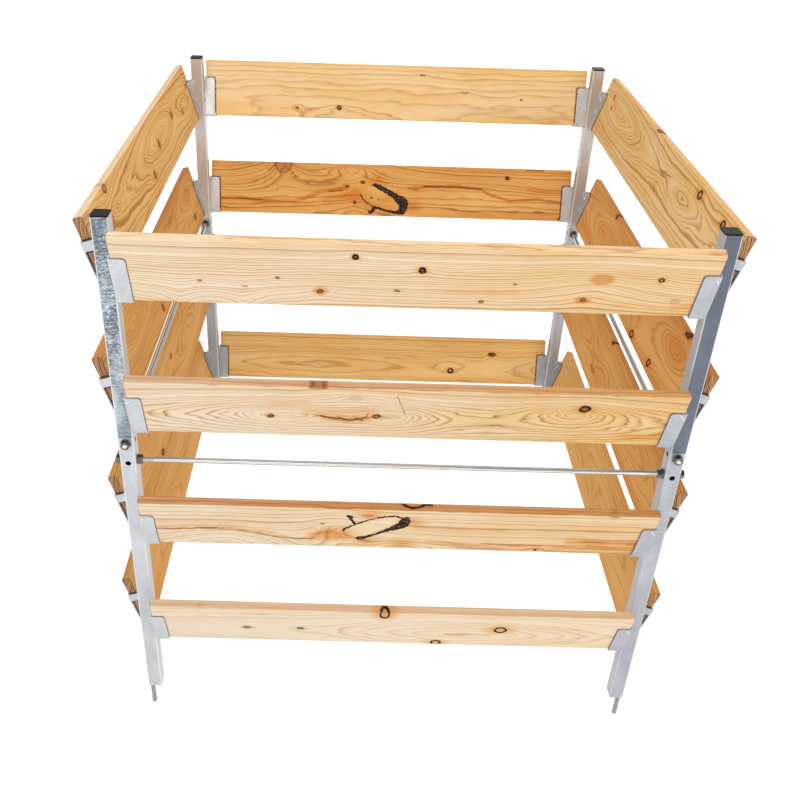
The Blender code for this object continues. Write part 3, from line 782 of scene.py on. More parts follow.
    def bark(self, colour):
        """Bark left in a pocket, and the stain round it, where the mesh holds them."""
        sheet, wood = self.sheet, self.wood
        bark, stain = sheet.attribute("bark"), sheet.attribute("stain")
        flakes = sheet.noise(self.place, 260.0, 4.0, 0.7)
        bark_colour = sheet.mix(sheet.remap(flakes, 0.44, 0.56), wood.bark, wood.flake)
        bark_colour = sheet.mix(sheet.remap(flakes, 0.60, 0.68), bark_colour, wood.pale_flake)
        bark_colour = sheet.mix(sheet.remap(bark, 0.85, 0.55), bark_colour, wood.bark_side)
        soaked = sheet.times(stain, sheet.remap(flakes, 0.35, 0.65, 0.5, 0.95))
        colour = self.flushed(soaked, colour)
        return sheet.mix(sheet.remap(bark, 0.30, 0.62), colour, bark_colour)

    def dirt_and_shade(self, colour):
        """Dirt, and a painted shadow line, along the edges of the bracket's plates."""
        sheet = self.sheet
        diagonal, cut = 0.7, 0.0022  # of the plates' upper corner, which is cut off
        along = sheet.maths("SUBTRACT", sheet.maths("ABSOLUTE", self.x), TUBE_FACE - PLATE_REACH)
        up = sheet.maths("SUBTRACT", PLATE_TOP, self.z)
        corner = sheet.times(sheet.maths("ADD", along, up), diagonal)
        corner = sheet.maths("SUBTRACT", corner, cut)
        covered = sheet.maths("MINIMUM", sheet.maths("MINIMUM", along, up), corner)
        patchiness = sheet.remap(sheet.noise(self.place, 180.0, 2.0), 0.3, 0.6, 0.6, 0.95)
        # It fades outward from the plates' edges, and inward under the plates
        outer = sheet.remap(covered, -0.0022, 0.0004)
        inner = sheet.remap(covered, 0.0050, 0.0018)
        return sheet.mix(sheet.times(outer, inner, patchiness), colour, self.wood.dirt_and_shade)

    def upper_edge(self, colour):
        """The upper edge, tinted darker brown or paler."""
        board, sheet, wood = self.board, self.sheet, self.wood
        on_edge = sheet.remap(self.z, BOARD_WIDTH - 0.0022, BOARD_WIDTH - 0.0004)
        patches = sheet.noise(self.place, (5.0, 300.0, 40.0), 3.0, 0.6)
        patches = sheet.remap(patches, 0.25, 0.75, 0.75, 1.1)
        edge_tint = sheet.times(on_edge, abs(board.edge))
        edge_tint = sheet.maths("MULTIPLY", edge_tint, patches, clamp=True)
        if board.edge > 0:
            return sheet.mix(edge_tint, colour, wood.edge, "MULTIPLY")
        return sheet.mix(edge_tint, colour, wood.pale_edge)

    def sawn_ends(self, colour, late):
        """The colour with end grain, a darker outline and the strap's painted shadow, and where
        the ends are.
        """
        sheet, wood = self.sheet, self.wood
        half = BOARD_LENGTH / 2
        on_end = sheet.remap(sheet.maths("ABSOLUTE", self.x), half - 0.0012, half - 0.0002)
        end_wood = sheet.mix(sheet.remap(late, 0.04, 0.40), wood.sawn, wood.end_ring)
        saw_marks = sheet.noise(self.place, (1.0, 900.0, 260.0), 2.0)
        saw_marks = sheet.remap(saw_marks, 0.35, 0.7, 0.0, 0.25)
        end_wood = sheet.mix(saw_marks, end_wood, wood.saw_mark)

        # Darker along the outline, and painted shadow lines above and below the strap
        from_y = sheet.maths("MINIMUM", self.y, sheet.maths("SUBTRACT", BOARD_THICKNESS, self.y))
        from_z = sheet.maths("MINIMUM", self.z, sheet.maths("SUBTRACT", BOARD_WIDTH, self.z))
        outline = sheet.remap(
            sheet.maths("MINIMUM", from_y, from_z), 0.0016, 0.0004, 0.0, 0.55)
        from_strap = sheet.apart(self.z, STRAP_HEIGHT)
        shadow = sheet.times(sheet.remap(from_strap, 0.0145, 0.0115, 0.0, 0.85),
                             sheet.remap(from_strap, 0.0070, 0.0095))
        end_wood = sheet.mix(sheet.maths("MAXIMUM", outline, shadow), end_wood, wood.end_rim_and_strap_shadow)
        return sheet.mix(on_end, colour, end_wood), on_end


def wood_material(name, board, groups, wood):
    """Softwood cut from a trunk, with the rings and knots of one board."""
    material, sheet, shader, place = new_material(name)
    grain = Grain(sheet, place, board, groups, wood)
    late, year = grain.rings()
    colour, late_wood = grain.clear_wood(late, year)
    colour = grain.heartwood(colour)
    fibres = sheet.noise(grain.place, (26.0, 620.0, 620.0), 2.0, 0.65)
    colour = sheet.mix(sheet.remap(fibres, 0.35, 0.72, 0.0, 0.16), colour, late_wood)
    colour, dark = grain.knots_and_cracks(colour)
    colour = grain.bark(colour)
    # Dirt and a painted shadow line along the bracket plates
    colour = grain.dirt_and_shade(colour)
    colour = grain.upper_edge(colour)
    colour, on_end = grain.sawn_ends(colour, late)
    sheet.feed(shader.inputs["Base Color"], colour)

    # Late wood is smoother than early wood, and a sawn end is rougher
    rough = sheet.remap(
        late, 0.0, 1.0, wood.roughness + 0.06, wood.roughness - 0.10, smooth=False)
    rough = sheet.maths("MULTIPLY_ADD", on_end, 0.18, rough)
    sheet.feed(shader.inputs["Roughness"], rough)
    shader.inputs["Specular IOR Level"].default_value = wood.gloss

    # Late wood and fibres stand up, and the dark lines of knots and cracks are sunk
    relief = sheet.maths("MULTIPLY_ADD", fibres, 0.5, late)
    relief = sheet.maths("MULTIPLY_ADD", dark, -2.0, relief)
    sheet.feed(shader.inputs["Normal"], sheet.bump(relief, 0.5, 0.00025))
    return material


def turned(degrees):
    """The matrix that turns the front side or the front right corner about Z."""
    return Matrix.Rotation(math.radians(degrees), 4, "Z")


def board_place(side, level):
    """The matrix of a board whose mesh already has its tilt."""
    seat = Matrix.Translation((0, BOARD_INSET - TUBE_OUTSIDE, BOARD_HEIGHTS[level]))
    return turned(SIDES[side]) @ seat


SUPPORT = 0.0012  # from a rounded edge to the row of points that keeps the face beside it flat


def board_profile(radius, rows):
    """The section of a board as Y and Z, anticlockwise from the middle of its lower edge."""
    width, thickness = BOARD_WIDTH, BOARD_THICKNESS
    steps = 4
    corners = [
        ((thickness - radius, radius), -90), ((thickness - radius, width - radius), 0),
        ((radius, width - radius), 90), ((radius, radius), 180)]
    near, far = radius + SUPPORT, thickness - radius - SUPPORT
    after_corner = [
        [(thickness, row) for row in rows], [(far, width), (near, width)],
        [(0.0, row) for row in reversed(rows)], [(near, 0.0), (far, 0.0)]]
    points = []
    for ((y, z), start), straight in zip(corners, after_corner):
        for step in range(steps + 1):
            angle = math.radians(start + 90 * step / steps)
            points.append((y + radius * math.cos(angle), z + radius * math.sin(angle)))
        points += straight
    return points


def tube_of_rings(name, rings, closed_ends=True):
    """A mesh through rings of the same number of points, capped at both ends."""
    count = len(rings[0])
    vertices = [point for ring in rings for point in ring]
    faces = []
    for row in range(len(rings) - 1):
        for column in range(count):
            following = (column + 1) % count
            faces.append((row * count + column, row * count + following,
                          (row + 1) * count + following, (row + 1) * count + column))
    if closed_ends:
        faces.append(tuple(reversed(range(count))))
        last = (len(rings) - 1) * count
        faces.append(tuple(range(last, last + count)))
    mesh = bpy.data.meshes.new(name)
    mesh.from_pydata(vertices, [], faces)
    set_normals(mesh)
    return mesh


def set_normals(mesh, join_within=0.0):
    """Turn all faces outward, with points that are closer than join_within joined first."""
    shape = bmesh.new()
    shape.from_mesh(mesh)
    if join_within:
        bmesh.ops.remove_doubles(shape, verts=shape.verts, dist=join_within)
    bmesh.ops.recalc_face_normals(shape, faces=shape.faces)
    shape.to_mesh(mesh)
    shape.free()


# Bark pockets. Outlines, lines and stains are in millimetres along the board and up its slope,
# and edge lines along it and across its upper edge.

POCKETS = {
    "front_board_2": {
        "inner": False,
        "span": (-125, 65),
        "areas": [[
            (6, 111), (15, 118), (21, 114), (23, 100), (20, 86), (13, 77), (5, 72), (-14, 64),
            (-35, 53), (-52, 41), (-66, 31), (-75, 28), (-82, 34), (-78, 40), (-64, 43),
            (-49, 51), (-34, 62), (-15, 78), (-1, 94)]],
        "lines": [
            ([(-106, 62), (-103, 69), (-84, 84), (-60, 101), (-35, 112), (-8, 119),
              (6, 113)], 4.6),
            ([(-94, 113), (-92, 106), (-88, 97), (-84, 89)], 6.0),
            ([(-96, 114), (-91, 111)], 9.0)],
        "edge_lines": [
            ([(4, 17), (12, 11), (21, 7.3), (32, 7.0), (42, 10.5), (50, 15.0), (62, 14)], 5.6)],
        "stains": [
            ((-118, 52), 34), ((-55, 120), 24), ((26, 100), 26), ((-60, 26), 26), ((10, 20), 26)],
        "branch": [
            (-106, 60), (-84, 82), (-60, 99), (-35, 110), (-8, 117), (6, 110), (-3, 96),
            (-16, 82), (-35, 66), (-50, 57), (-65, 47), (-82, 40), (-98, 48)],
    },
    "rear_board_3": {
        "inner": True,
        "span": (-70, 95),
        "areas": [[
            (54, 84), (44, 90), (32, 87), (14, 78), (-6, 68), (-20, 60), (-34, 56), (-46, 46),
            (-50, 38), (-46, 20), (-40, 9), (-32, 5), (-22, 6), (-10, 8), (6, 12), (22, 17),
            (36, 20), (42, 18), (48, 8), (55, 4), (56, 12), (50, 22), (44, 27), (36, 26),
            (20, 20), (4, 17), (-12, 15), (-22, 18), (-24, 30), (-16, 40), (-4, 52), (12, 62),
            (28, 70)]],
        "lines": [
            ([(44, 25), (58, 31), (74, 43), (85, 58)], 3.2),
            ([(48, 22), (36, 23), (20, 18), (4, 14), (-12, 11), (-24, 9)], 6.0),
            ([(50, 14), (56, 6), (60, 12)], 4.0)],
        "edge_lines": [],
        "stains": [((-58, 30), 24), ((95, 50), 34), ((40, 100), 28), ((10, 8), 24)],
        "branch": [
            (44, 90), (28, 70), (12, 62), (-4, 52), (-16, 40), (-24, 30), (-22, 18), (4, 17),
            (36, 26), (58, 33), (74, 45), (86, 60), (84, 80), (68, 92)],
    },
}

UPPER_EDGE = BOARD_WIDTH - 0.0005  # above this, a point is on a board's upper edge
POCKET_STEP = 0.0013  # between the points of a board that has a pocket
EDGE_STEP = 0.0011  # between the points across such a board's upper edge
WOBBLE_SEED = 1  # of the bark's outlines, which would differ from run to run without one


def distance_to_line(points, line):
    """How far each point is from a line through several points."""
    best = np.full(len(points), 1e9)
    for start, end in zip(line[:-1], line[1:]):
        start, end = np.array(start, float), np.array(end, float)
        along = end - start
        share = np.clip(((points - start) @ along) / (along @ along), 0, 1)
        best = np.minimum(best, np.linalg.norm(points - start - share[:, None] * along, axis=1))
    return best


def depth_inside(points, outline):
    """How far each point is within a closed outline, or below 0, how far outside it."""
    closed = outline + outline[:1]
    inside = np.zeros(len(points), bool)
    for (x1, y1), (x2, y2) in zip(closed[:-1], closed[1:]):
        crosses = (y1 > points[:, 1]) != (y2 > points[:, 1])
        slope = (x2 - x1) * (points[:, 1] - y1) / (y2 - y1 + 1e-12) + x1
        inside ^= crosses & (points[:, 0] < slope)
    distance = distance_to_line(points, closed)
    return np.where(inside, distance, -distance)


def line_weight(points, line, width):
    """1 on a line of a width, fading to 0 across its sides."""
    fade = 1.2
    return np.clip((width / 2 + fade / 2 - distance_to_line(points, line)) / fade, 0, 1)


def bark_weights(pocket, coordinates):
    """How much bark, stain and branch wood each vertex of a board has, from 0 to 1."""
    face_wobble, edge_wobble = 2.2, 0.8  # of the outlines, in millimetres
    noise.seed_set(WOBBLE_SEED)
    wobble = np.array([noise.noise_vector(Vector(c) * 260) for c in coordinates])
    flat = coordinates[:, [0, 2]] * 1000 + wobble[:, [0, 2]] * face_wobble
    on_inner = coordinates[:, 1] > BOARD_THICKNESS / 2
    on_outer = coordinates[:, 1] < BOARD_THICKNESS / 2
    on_face = (on_inner if pocket["inner"] else on_outer) & (coordinates[:, 2] < UPPER_EDGE)
    bark = np.zeros(len(coordinates))
    for outline in pocket["areas"]:
        bark = np.maximum(bark, np.clip((depth_inside(flat, outline) + 1.2) / 2.4, 0, 1))
    for line, width in pocket["lines"]:
        bark = np.maximum(bark, line_weight(flat, line, width))
    bark *= on_face
    top = coordinates[:, [0, 1]] * 1000 + wobble[:, [0, 1]] * edge_wobble
    on_top = coordinates[:, 2] > UPPER_EDGE
    for line, width in pocket["edge_lines"]:
        bark = np.maximum(bark, line_weight(top, line, width) * on_top)
    stain = np.zeros(len(coordinates))
    for centre, reach in pocket["stains"]:
        away = np.linalg.norm((flat - centre) / (1.6, 1.0), axis=1)
        stain = np.maximum(stain, np.clip(1 - away / reach, 0, 1))
    branch = np.clip(depth_inside(flat, pocket["branch"]) / 3, 0, 1)
    return bark, stain * (on_face | on_top), branch * on_face


def sink_bark(coordinates, bark, pocket):
    """Move the points of a board into the wood where there is bark."""
    mean_depth, ruggedness, least, most = 0.0016, 0.0013, 0.0003, 0.004
    rugged = np.array([
        noise.noise(Vector(c) * 420) + noise.noise(Vector(c) * 1100) for c in coordinates])
    depth = bark * np.clip(mean_depth + ruggedness * rugged, least, most)
    inward = -1 if pocket["inner"] else 1
    on_top = coordinates[:, 2] > UPPER_EDGE
    coordinates[:, 1] += np.where(on_top, 0, inward * depth)
    coordinates[:, 2] -= np.where(on_top, depth, 0)


def denser_edge(profile):
    """The same section with more points across its upper edge."""
    denser = []
    for (y, z), (next_y, next_z) in zip(profile, profile[1:] + profile[:1]):
        denser.append((y, z))
        if z == next_z == BOARD_WIDTH:
            count = max(1, round(abs(y - next_y) / EDGE_STEP))
            denser += [(y + (next_y - y) * k / count, BOARD_WIDTH) for k in range(1, count)]
    return denser


def board_mesh(name, wood, pocket=None):
    """A planed board with rounded edges, and with sunken bark where it has a pocket."""
    half = BOARD_LENGTH / 2
    ease = wood.end_easing
    radius = wood.edge_radius
    first_row, last_row = radius + SUPPORT, BOARD_WIDTH - radius - SUPPORT
    row_margin, column_margin, gap = 0.02, 0.006, 0.01
    rows = list(np.linspace(row_margin, BOARD_WIDTH - row_margin, 6))
    rows = [first_row] + rows + [last_row]
    columns = list(np.linspace(-half + column_margin, half - column_margin, 21))
    if pocket:
        rows = list(np.arange(first_row, BOARD_WIDTH - radius, POCKET_STEP))
        start, end = metres(*pocket["span"])
        columns = [c for c in columns if c < start - gap or c > end + gap]
        columns = sorted(columns + list(np.arange(start, end, POCKET_STEP)))
    profile = board_profile(radius, rows)
    if pocket and pocket["edge_lines"]:
        profile = denser_edge(profile)
    middle_y, middle_z = BOARD_THICKNESS / 2, BOARD_WIDTH / 2
    drawn_in = [(y + math.copysign(ease, middle_y - y), z + math.copysign(ease, middle_z - z))
                for y, z in profile]
    rings = [[(-half, y, z) for y, z in drawn_in]]
    rings += [[(x, y, z) for y, z in profile] for x in [-half + ease] + columns + [half - ease]]
    rings.append([(half, y, z) for y, z in drawn_in])
    mesh = tube_of_rings(name, rings)
    coordinates = np.array([v.co for v in mesh.vertices], float).reshape(-1, 3)
    if pocket:
        weights = bark_weights(pocket, coordinates)
        sink_bark(coordinates, weights[0], pocket)
        mesh.vertices.foreach_set("co", coordinates.astype(np.float32).ravel())
    else:
        weights = np.zeros((3, len(coordinates)))
    mesh.transform(Matrix.Rotation(BOARD_TILT, 4, "X"))
    for attribute_name, values in zip(("bark", "stain", "branch"), weights):
        attribute = mesh.attributes.new(attribute_name, "FLOAT", "POINT")
        attribute.data.foreach_set("value", values.astype(np.float32))
    smooth(mesh, 40)
    return mesh


def smooth(mesh, sharp_from):
    """Shade a mesh smooth, with edges sharper than so many degrees kept sharp."""
    mesh.shade_smooth()
    mesh.set_sharp_from_angle(angle=math.radians(sharp_from))


def add_piece(name, mesh, material, body, place=None, replaced=()):
    """Place a mesh as one piece that rides on a body."""
    piece = bpy.data.objects.new(name, mesh)
    bpy.context.scene.collection.objects.link(piece)
    if not mesh.materials:
        mesh.materials.append(material)
    if place is not None:
        piece.matrix_world = place
    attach(piece, body)
    if replaced:
        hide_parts(*replaced)


class BIN_OT_boards(bpy.types.Operator):
    """Build the sixteen boards, each cut from its own trunk"""
    bl_idname = "compost_bin.boards"
    bl_label = "Boards"

    def execute(self, context):
        wood = context.scene.bin_wood
        groups = {"swell": swell_group(), "knot": knot_group(), "line": line_group(),
                  "rings": ring_group()}
        plain = board_mesh("plain_board", wood)
        for side in SIDES:
            for level in BOARD_HEIGHTS:
                node = f"{side}_board_{level}"
                material = wood_material(node + "_wood", BOARDS[node], groups, wood)
                if node in POCKETS:
                    mesh = board_mesh(node + "_shape", wood, POCKETS[node])
                else:
                    mesh = plain.copy()
                add_piece(node + "_timber", mesh, material, node,
                          board_place(side, level), [node])
        return {"FINISHED"}


# Posts

def zinc_material(name, steel, base, dark, pale, cover=0.3, spangle=0.3, specks=0.0,
                  all_round=False):
    """Galvanised steel with another tone on part of the post.

    base: the colour of the brackets and of all that isn't covered
    dark, pale: the two colours of the covering, on the tube's outward faces or all_round
    cover, spangle, specks: how strong the covering, its crystals and its pale specks are
    """
    material, sheet, shader, place = new_material(name)
    x, y, z = sheet.split(place)
    size = steel.spangle_size

    # Crystals, and the clouds and frost over them
    drawn_out = sheet.vector("MULTIPLY", place, (0.7, 0.7, 1.5))
    shaken = sheet.noise_vector(drawn_out, 0.8 / size, 3.0)
    shaken = sheet.vector("MULTIPLY_ADD", shaken, (size * 1.2,) * 3, drawn_out)
    crystals = sheet.node("ShaderNodeTexVoronoi", {"Vector": shaken, "Scale": 1 / size})
    tone = sheet.split(crystals.outputs["Color"])[0]
    clouds = sheet.noise(sheet.vector("MULTIPLY", place, (1.0, 1.0, 0.5)), 26.0, 3.0, 0.6)
    frost = sheet.noise(shaken, 1.7 / size, 4.0, 0.75)

    quiet = sheet.swung(0.5, tone, 0.16)
    quiet = sheet.swung(quiet, clouds, 0.5)
    quiet = sheet.swung(quiet, frost, 0.25)
    plain = sheet.mix(sheet.remap(quiet, 0.25, 0.75), shade(base, 0.80), shade(base, 1.16))

    # The covering is stronger and darker towards the top of the post
    higher = sheet.remap(z, 0.78, 1.02, 0.35, 1.0)
    loud = sheet.swung(0.0, tone, 0.7 * spangle)
    loud = sheet.swung(loud, frost, 2.3 * spangle)
    loud = sheet.maths("MULTIPLY_ADD", loud, higher, sheet.remap(z, 0.80, 1.16, 0.60, 0.24))
    loud = sheet.swung(loud, clouds, 1.3)
    covered = sheet.mix(sheet.remap(loud, 0.12, 0.95), dark, pale)
    if specks:
        spots = sheet.noise(sheet.vector("MULTIPLY", place, (1.0, 1.0, 0.35)), 240.0, 3.0, 0.7)
        spots = sheet.times(sheet.remap(spots, 0.66, 0.80), specks)
        covered = sheet.mix(spots, covered, steel.speck)

    # The tube and its outward faces; its corners, lighter from wear and a painted highlight; its
    # bore, painted dark as shade
    side_x, side_y = sheet.maths("ABSOLUTE", x), sheet.maths("ABSOLUTE", y)
    least = sheet.maths("MINIMUM", side_x, side_y)
    most = sheet.maths("MAXIMUM", side_x, side_y)
    in_tube = sheet.maths("GREATER_THAN", least, TUBE_FACE - 0.0001)
    in_tube = sheet.times(in_tube, sheet.maths("LESS_THAN", most, TUBE_OUTSIDE + 0.0003))
    if all_round:
        outward = 1.0
    else:
        outward = sheet.remap(most, TUBE_OUTSIDE - 0.0012, TUBE_OUTSIDE - 0.0003)
    colour = sheet.mix(sheet.times(outward, in_tube, cover), plain, covered)
    half = TUBE_SIDE / 2
    from_x, from_y = sheet.apart(side_x, TUBE_CENTRE), sheet.apart(side_y, TUBE_CENTRE)
    nearest = sheet.maths("MINIMUM", from_x, from_y)
    # Corners lightened: partly worn zinc, partly a painted highlight along the tube's edges
    wear_and_highlight = sheet.remap(nearest, half - 0.0030, half - 0.0014, 0.0, 0.8)
    colour = sheet.mix(sheet.times(wear_and_highlight, in_tube), colour, shade(base, 1.4))
    # The bore is painted near-black: painted shade inside the tube
    furthest = sheet.maths("MAXIMUM", from_x, from_y)
    bore = sheet.maths("LESS_THAN", furthest, half - 0.0020)
    colour = sheet.mix(bore, colour, steel.inside)

    sheet.feed(shader.inputs["Base Color"], colour)
    shader.inputs["Metallic"].default_value = steel.metal
    rough = sheet.remap(tone, 0.0, 1.0, steel.roughness - 0.08, steel.roughness + 0.12)
    sheet.feed(shader.inputs["Roughness"], rough)
    sheet.feed(shader.inputs["Normal"], sheet.bump(frost, 0.25, 0.0002))
    return material


def refinish(node, material, easing=0.0):
    """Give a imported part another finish, and ease its edges where a width is given."""
    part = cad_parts[node]
    part.data.materials.clear()
    part.data.materials.append(material)
    if easing:
        weld = part.modifiers.new("joined faces", "WELD")
        weld.merge_threshold = 0.00001
        rounding = part.modifiers.new("eased edges", "BEVEL")
        rounding.width = easing
        rounding.segments = 2
        rounding.limit_method = "ANGLE"
        rounding.angle_limit = math.radians(40)
        rounding.use_clamp_overlap = True
        rounding.harden_normals = True


class BIN_OT_posts(bpy.types.Operator):
    """Finish the posts and their brackets in galvanised steel"""
    bl_idname = "compost_bin.posts"
    bl_label = "Posts and brackets"

    def execute(self, context):
        steel = context.scene.bin_steel
        fresh, weathered, warm = steel.fresh, steel.weathered, steel.warm
        fresh_zinc = zinc_material("zinc_fresh", steel, fresh, shade(fresh, 0.7), fresh)
        grey_zinc = zinc_material(
            "zinc_grey", steel, weathered, shade(weathered, 0.7), weathered)
        upper = {
            "front_left": zinc_material(
                "zinc_spangled", steel, fresh, steel.spangle_dark, steel.spangle_pale,
                cover=1.0, spangle=1.0),
            "front_right": zinc_material(
                "zinc_dull", steel, weathered, steel.dull, shade(steel.dull, 1.4),
                cover=1.0, spangle=0.12, specks=0.9),
            "rear_left": zinc_material(
                "zinc_pale", steel, warm, steel.sandy, shade(warm, 1.2),
                cover=0.85, all_round=True),
            "rear_right": zinc_material(
                "zinc_warm", steel, warm, steel.sandy, steel.violet,
                cover=0.85, all_round=True),
        }
        for corner in CORNERS:
            lower = fresh_zinc if corner == "front_left" else grey_zinc
            refinish(corner + "_lower_post", lower, steel.edge_easing)
            refinish(corner + "_upper_post", upper[corner], steel.edge_easing)
            refinish(corner + "_post_connector", lower)
        return {"FINISHED"}


def bracket_places(corner, levels):
    """The matrices that put the brackets of some levels on a post, two for each level.

    In a bracket's own frame X = 0 is the post's side face, Y runs from the
    board's outer face inward and Z up the board's slope.
    """
    swapped = Matrix(((0, -1, 0, 0), (-1, 0, 0, 0), (0, 0, 1, 0), (0, 0, 0, 1)))
    place = turned(CORNERS[corner]) @ Matrix.Translation((TUBE_CENTRE, -TUBE_CENTRE, 0))
    half = TUBE_SIDE / 2
    places = []
    for level in levels:
        seat = Matrix.Translation((-half, BOARD_INSET - half, BOARD_HEIGHTS[level]))
        on_side = seat @ Matrix.Rotation(BOARD_TILT, 4, "X")
        places += [place @ on_side, place @ swapped @ on_side]
    return places


# Weld beads of a bracket: place and half sizes in its own frame, in millimetres
BEADS = [
    ((-1.2, 22.0, 42.0), (1.7, 1.5, 6.5)),
    ((-1.2, 22.0, 83.0), (1.7, 1.5, 6.0)),
    ((-0.9, 30.8, 88.0), (1.5, 1.6, 7.5)),
    ((-1.6, 9.0, -3.0), (1.8, 6.0, 1.2)),
    ((-3.8, -3.5, 83.0), (2.0, 1.5, 3.0)),
    ((-6.2, -3.5, 87.5), (3.0, 1.5, 1.9)),
    ((-9.4, -3.4, 91.0), (1.9, 1.3, 2.4)),
]


def bead_mesh(name, places):
    """Weld beads with their ripples, for all the brackets of one post."""
    ripple_height, ripple_rate, lump_height = 0.10, 3.6, 0.22
    shape = bmesh.new()
    for number, place in enumerate(places):
        for index, (centre, sizes) in enumerate(BEADS):
            start = len(shape.verts)
            bmesh.ops.create_icosphere(shape, subdivisions=3, radius=1.0)
            shape.verts.ensure_lookup_table()
            longest = max(range(3), key=lambda axis: sizes[axis])
            own_lumps = Vector((number * 7.3, index * 3.1, 0))
            for vertex in shape.verts[start:]:
                point = vertex.co.copy()
                passed = point[longest] * sizes[longest]
                ripple = 1 + ripple_height * math.sin(passed * ripple_rate)
                lumps = 1 + lump_height * noise.noise(point * 1.7 + own_lumps)
                scaled = Vector([point[axis] * sizes[axis] * lumps for axis in range(3)])
                for axis in range(3):
                    if axis != longest:
                        scaled[axis] *= ripple
                vertex.co = place @ ((Vector(centre) + scaled) / 1000)
    mesh = bpy.data.meshes.new(name)
    bmesh.ops.recalc_face_normals(shape, faces=shape.faces)
    shape.to_mesh(mesh)
    shape.free()
    mesh.shade_smooth()
    return mesh


class BIN_OT_welds(bpy.types.Operator):
    """Lay the weld beads that hold the brackets to the posts"""
    bl_idname = "compost_bin.welds"
    bl_label = "Weld beads"

    def execute(self, context):
        steel = context.scene.bin_steel
        material, sheet, shader, place = new_material("zinc_weld")
        mottle = sheet.noise(place, 600.0, 3.0, 0.7)
        colour = sheet.mix(sheet.remap(mottle, 0.35, 0.65), steel.weld_dark, steel.weld_pale)
        sheet.feed(shader.inputs["Base Color"], colour)
        shader.inputs["Metallic"].default_value = steel.weld_metal
        sheet.feed(shader.inputs["Roughness"], sheet.remap(mottle, 0.3, 0.7, 0.22, 0.42))
        for corner in CORNERS:
            for part, levels in (("lower", (1, 2)), ("upper", (3, 4))):
                mesh = bead_mesh(f"{corner}_{part}_beads", bracket_places(corner, levels))
                add_piece(f"{corner}_{part}_post_welds", mesh, material, FRAME_BODY)
        return {"FINISHED"}


# Tie rods and nuts

def rod_place(side, height):
    """The matrix of a tie rod, and the frame that its nuts are set in."""
    return turned(SIDES[side]) @ Matrix.Translation((0, -TUBE_CENTRE, height))


def ring_about_x(x, radius_at, segments):
    """A ring of points round the X axis, with a radius for each angle."""
    angles = [2 * math.pi * step / segments for step in range(segments)]
    return [(x, radius_at(a) * math.cos(a), radius_at(a) * math.sin(a)) for a in angles]


def rod_mesh(name, fittings):
    """A round bar along X with a thread cut on both ends."""
    half = ROD_LENGTH / 2
    pitch, depth = fittings.thread_pitch, fittings.thread_depth
    segments = 20
    steps_per_turn = 4
    chamfer = 0.0010
    plain_from = half - fittings.thread_length
    threaded = list(np.arange(plain_from, half - chamfer, pitch / steps_per_turn))
    plain = list(np.linspace(-plain_from, plain_from, 9)[1:-1])

    def radius_at(x, angle):
        reach = abs(x) - plain_from
        if reach <= 0:
            return ROD_RADIUS
        turn = (x / pitch - angle / (2 * math.pi)) % 1.0
        groove = 1 - abs(2 * turn - 1)
        fade = min(1.0, reach / (2 * pitch))
        return ROD_RADIUS - depth * groove * fade

    rings = [ring_about_x(x, lambda angle: radius_at(x, angle), segments)
             for x in [-x for x in reversed(threaded)] + plain + threaded]
    shoulder = ROD_RADIUS - depth
    for radius, x in ((shoulder, half - chamfer / 2), (shoulder - 0.0006, half)):
        rings.insert(0, ring_about_x(-x, lambda angle: radius, segments))
        rings.append(ring_about_x(x, lambda angle: radius, segments))
    mesh = tube_of_rings(name, rings)
    smooth(mesh, 50)
    return mesh


def nut_mesh(name):
    """A flanged hex nut with chamfered corners, its seat at X = 0 and its face towards +X."""
    across_flats, height, flange, flange_height = 0.016, 0.010, 0.020, 0.0018
    chamfer = 0.0014
    bore = ROD_RADIUS + 0.0002

    def round_at(radius):
        return lambda angle: radius

    def hexagon(angle):
        within = (angle + math.pi / 6) % (math.pi / 3) - math.pi / 6
        return across_flats / 2 / math.cos(within)

    # From the bore over the flange and up the flats, as X and the radius there
    rim = flange / 2
    rows = [(0.0, round_at(bore)), (0.0, round_at(rim - 0.0003)), (0.0004, round_at(rim)),
            (0.0009, round_at(rim)), (0.0013, round_at(rim - 0.0004)),
            (flange_height + 0.0003, lambda angle: max(hexagon(angle), rim - 0.0016)),
            (flange_height + 0.0010, hexagon)]
    # Over the chamfer of the corners, and down into the bore
    corner = across_flats / 2 / math.cos(math.pi / 6) + 0.0002
    face = across_flats / 2 * 0.955
    for share in np.linspace(0, 1, 6):
        limit = corner - (corner - face) * share
        rows.append((height - chamfer + chamfer * share,
                     lambda angle, limit=limit: min(hexagon(angle), limit)))
    rows += [(height, round_at(bore + 0.0009)), (height - 0.0006, round_at(bore + 0.0001))]
    rings = [ring_about_x(x, radius_at, 48) for x, radius_at in rows]
    mesh = tube_of_rings(name, rings + rings[:1], closed_ends=False)
    set_normals(mesh, join_within=1e-7)
    smooth(mesh, 28)
    return mesh


def plated_material(name, base, low, high, metallic, roughness, grain, painted_top_shade=0.0):
    """Zinc plating with a mottle from low to high, and with a painted dark reflection on what
    faces up.

    grain: how many patches of the mottle fit into a metre along X, Y and Z
    """
    material, sheet, shader, place = new_material(name)
    mottle = sheet.noise(place, grain, 3.0, 0.6)
    colour = sheet.mix(sheet.remap(mottle, 0.32, 0.68), shade(base, low), shade(base, high))
    # What faces up is painted darker: a painted reflection of a darker sky above
    if painted_top_shade:
        upward = sheet.split(sheet.node("ShaderNodeNewGeometry").outputs["Normal"])[2]
        top_shade_mask = sheet.remap(upward, 0.30, 0.66, 0.0, painted_top_shade)
        colour = sheet.mix(top_shade_mask, colour, shade(base, 0.12))
    sheet.feed(shader.inputs["Base Color"], colour)
    shader.inputs["Metallic"].default_value = metallic
    rough = sheet.remap(mottle, 0.2, 0.8, roughness - 0.06, roughness + 0.08)
    sheet.feed(shader.inputs["Roughness"], rough)
    sheet.feed(shader.inputs["Normal"], sheet.bump(mottle, 0.15, 0.0001))
    return material


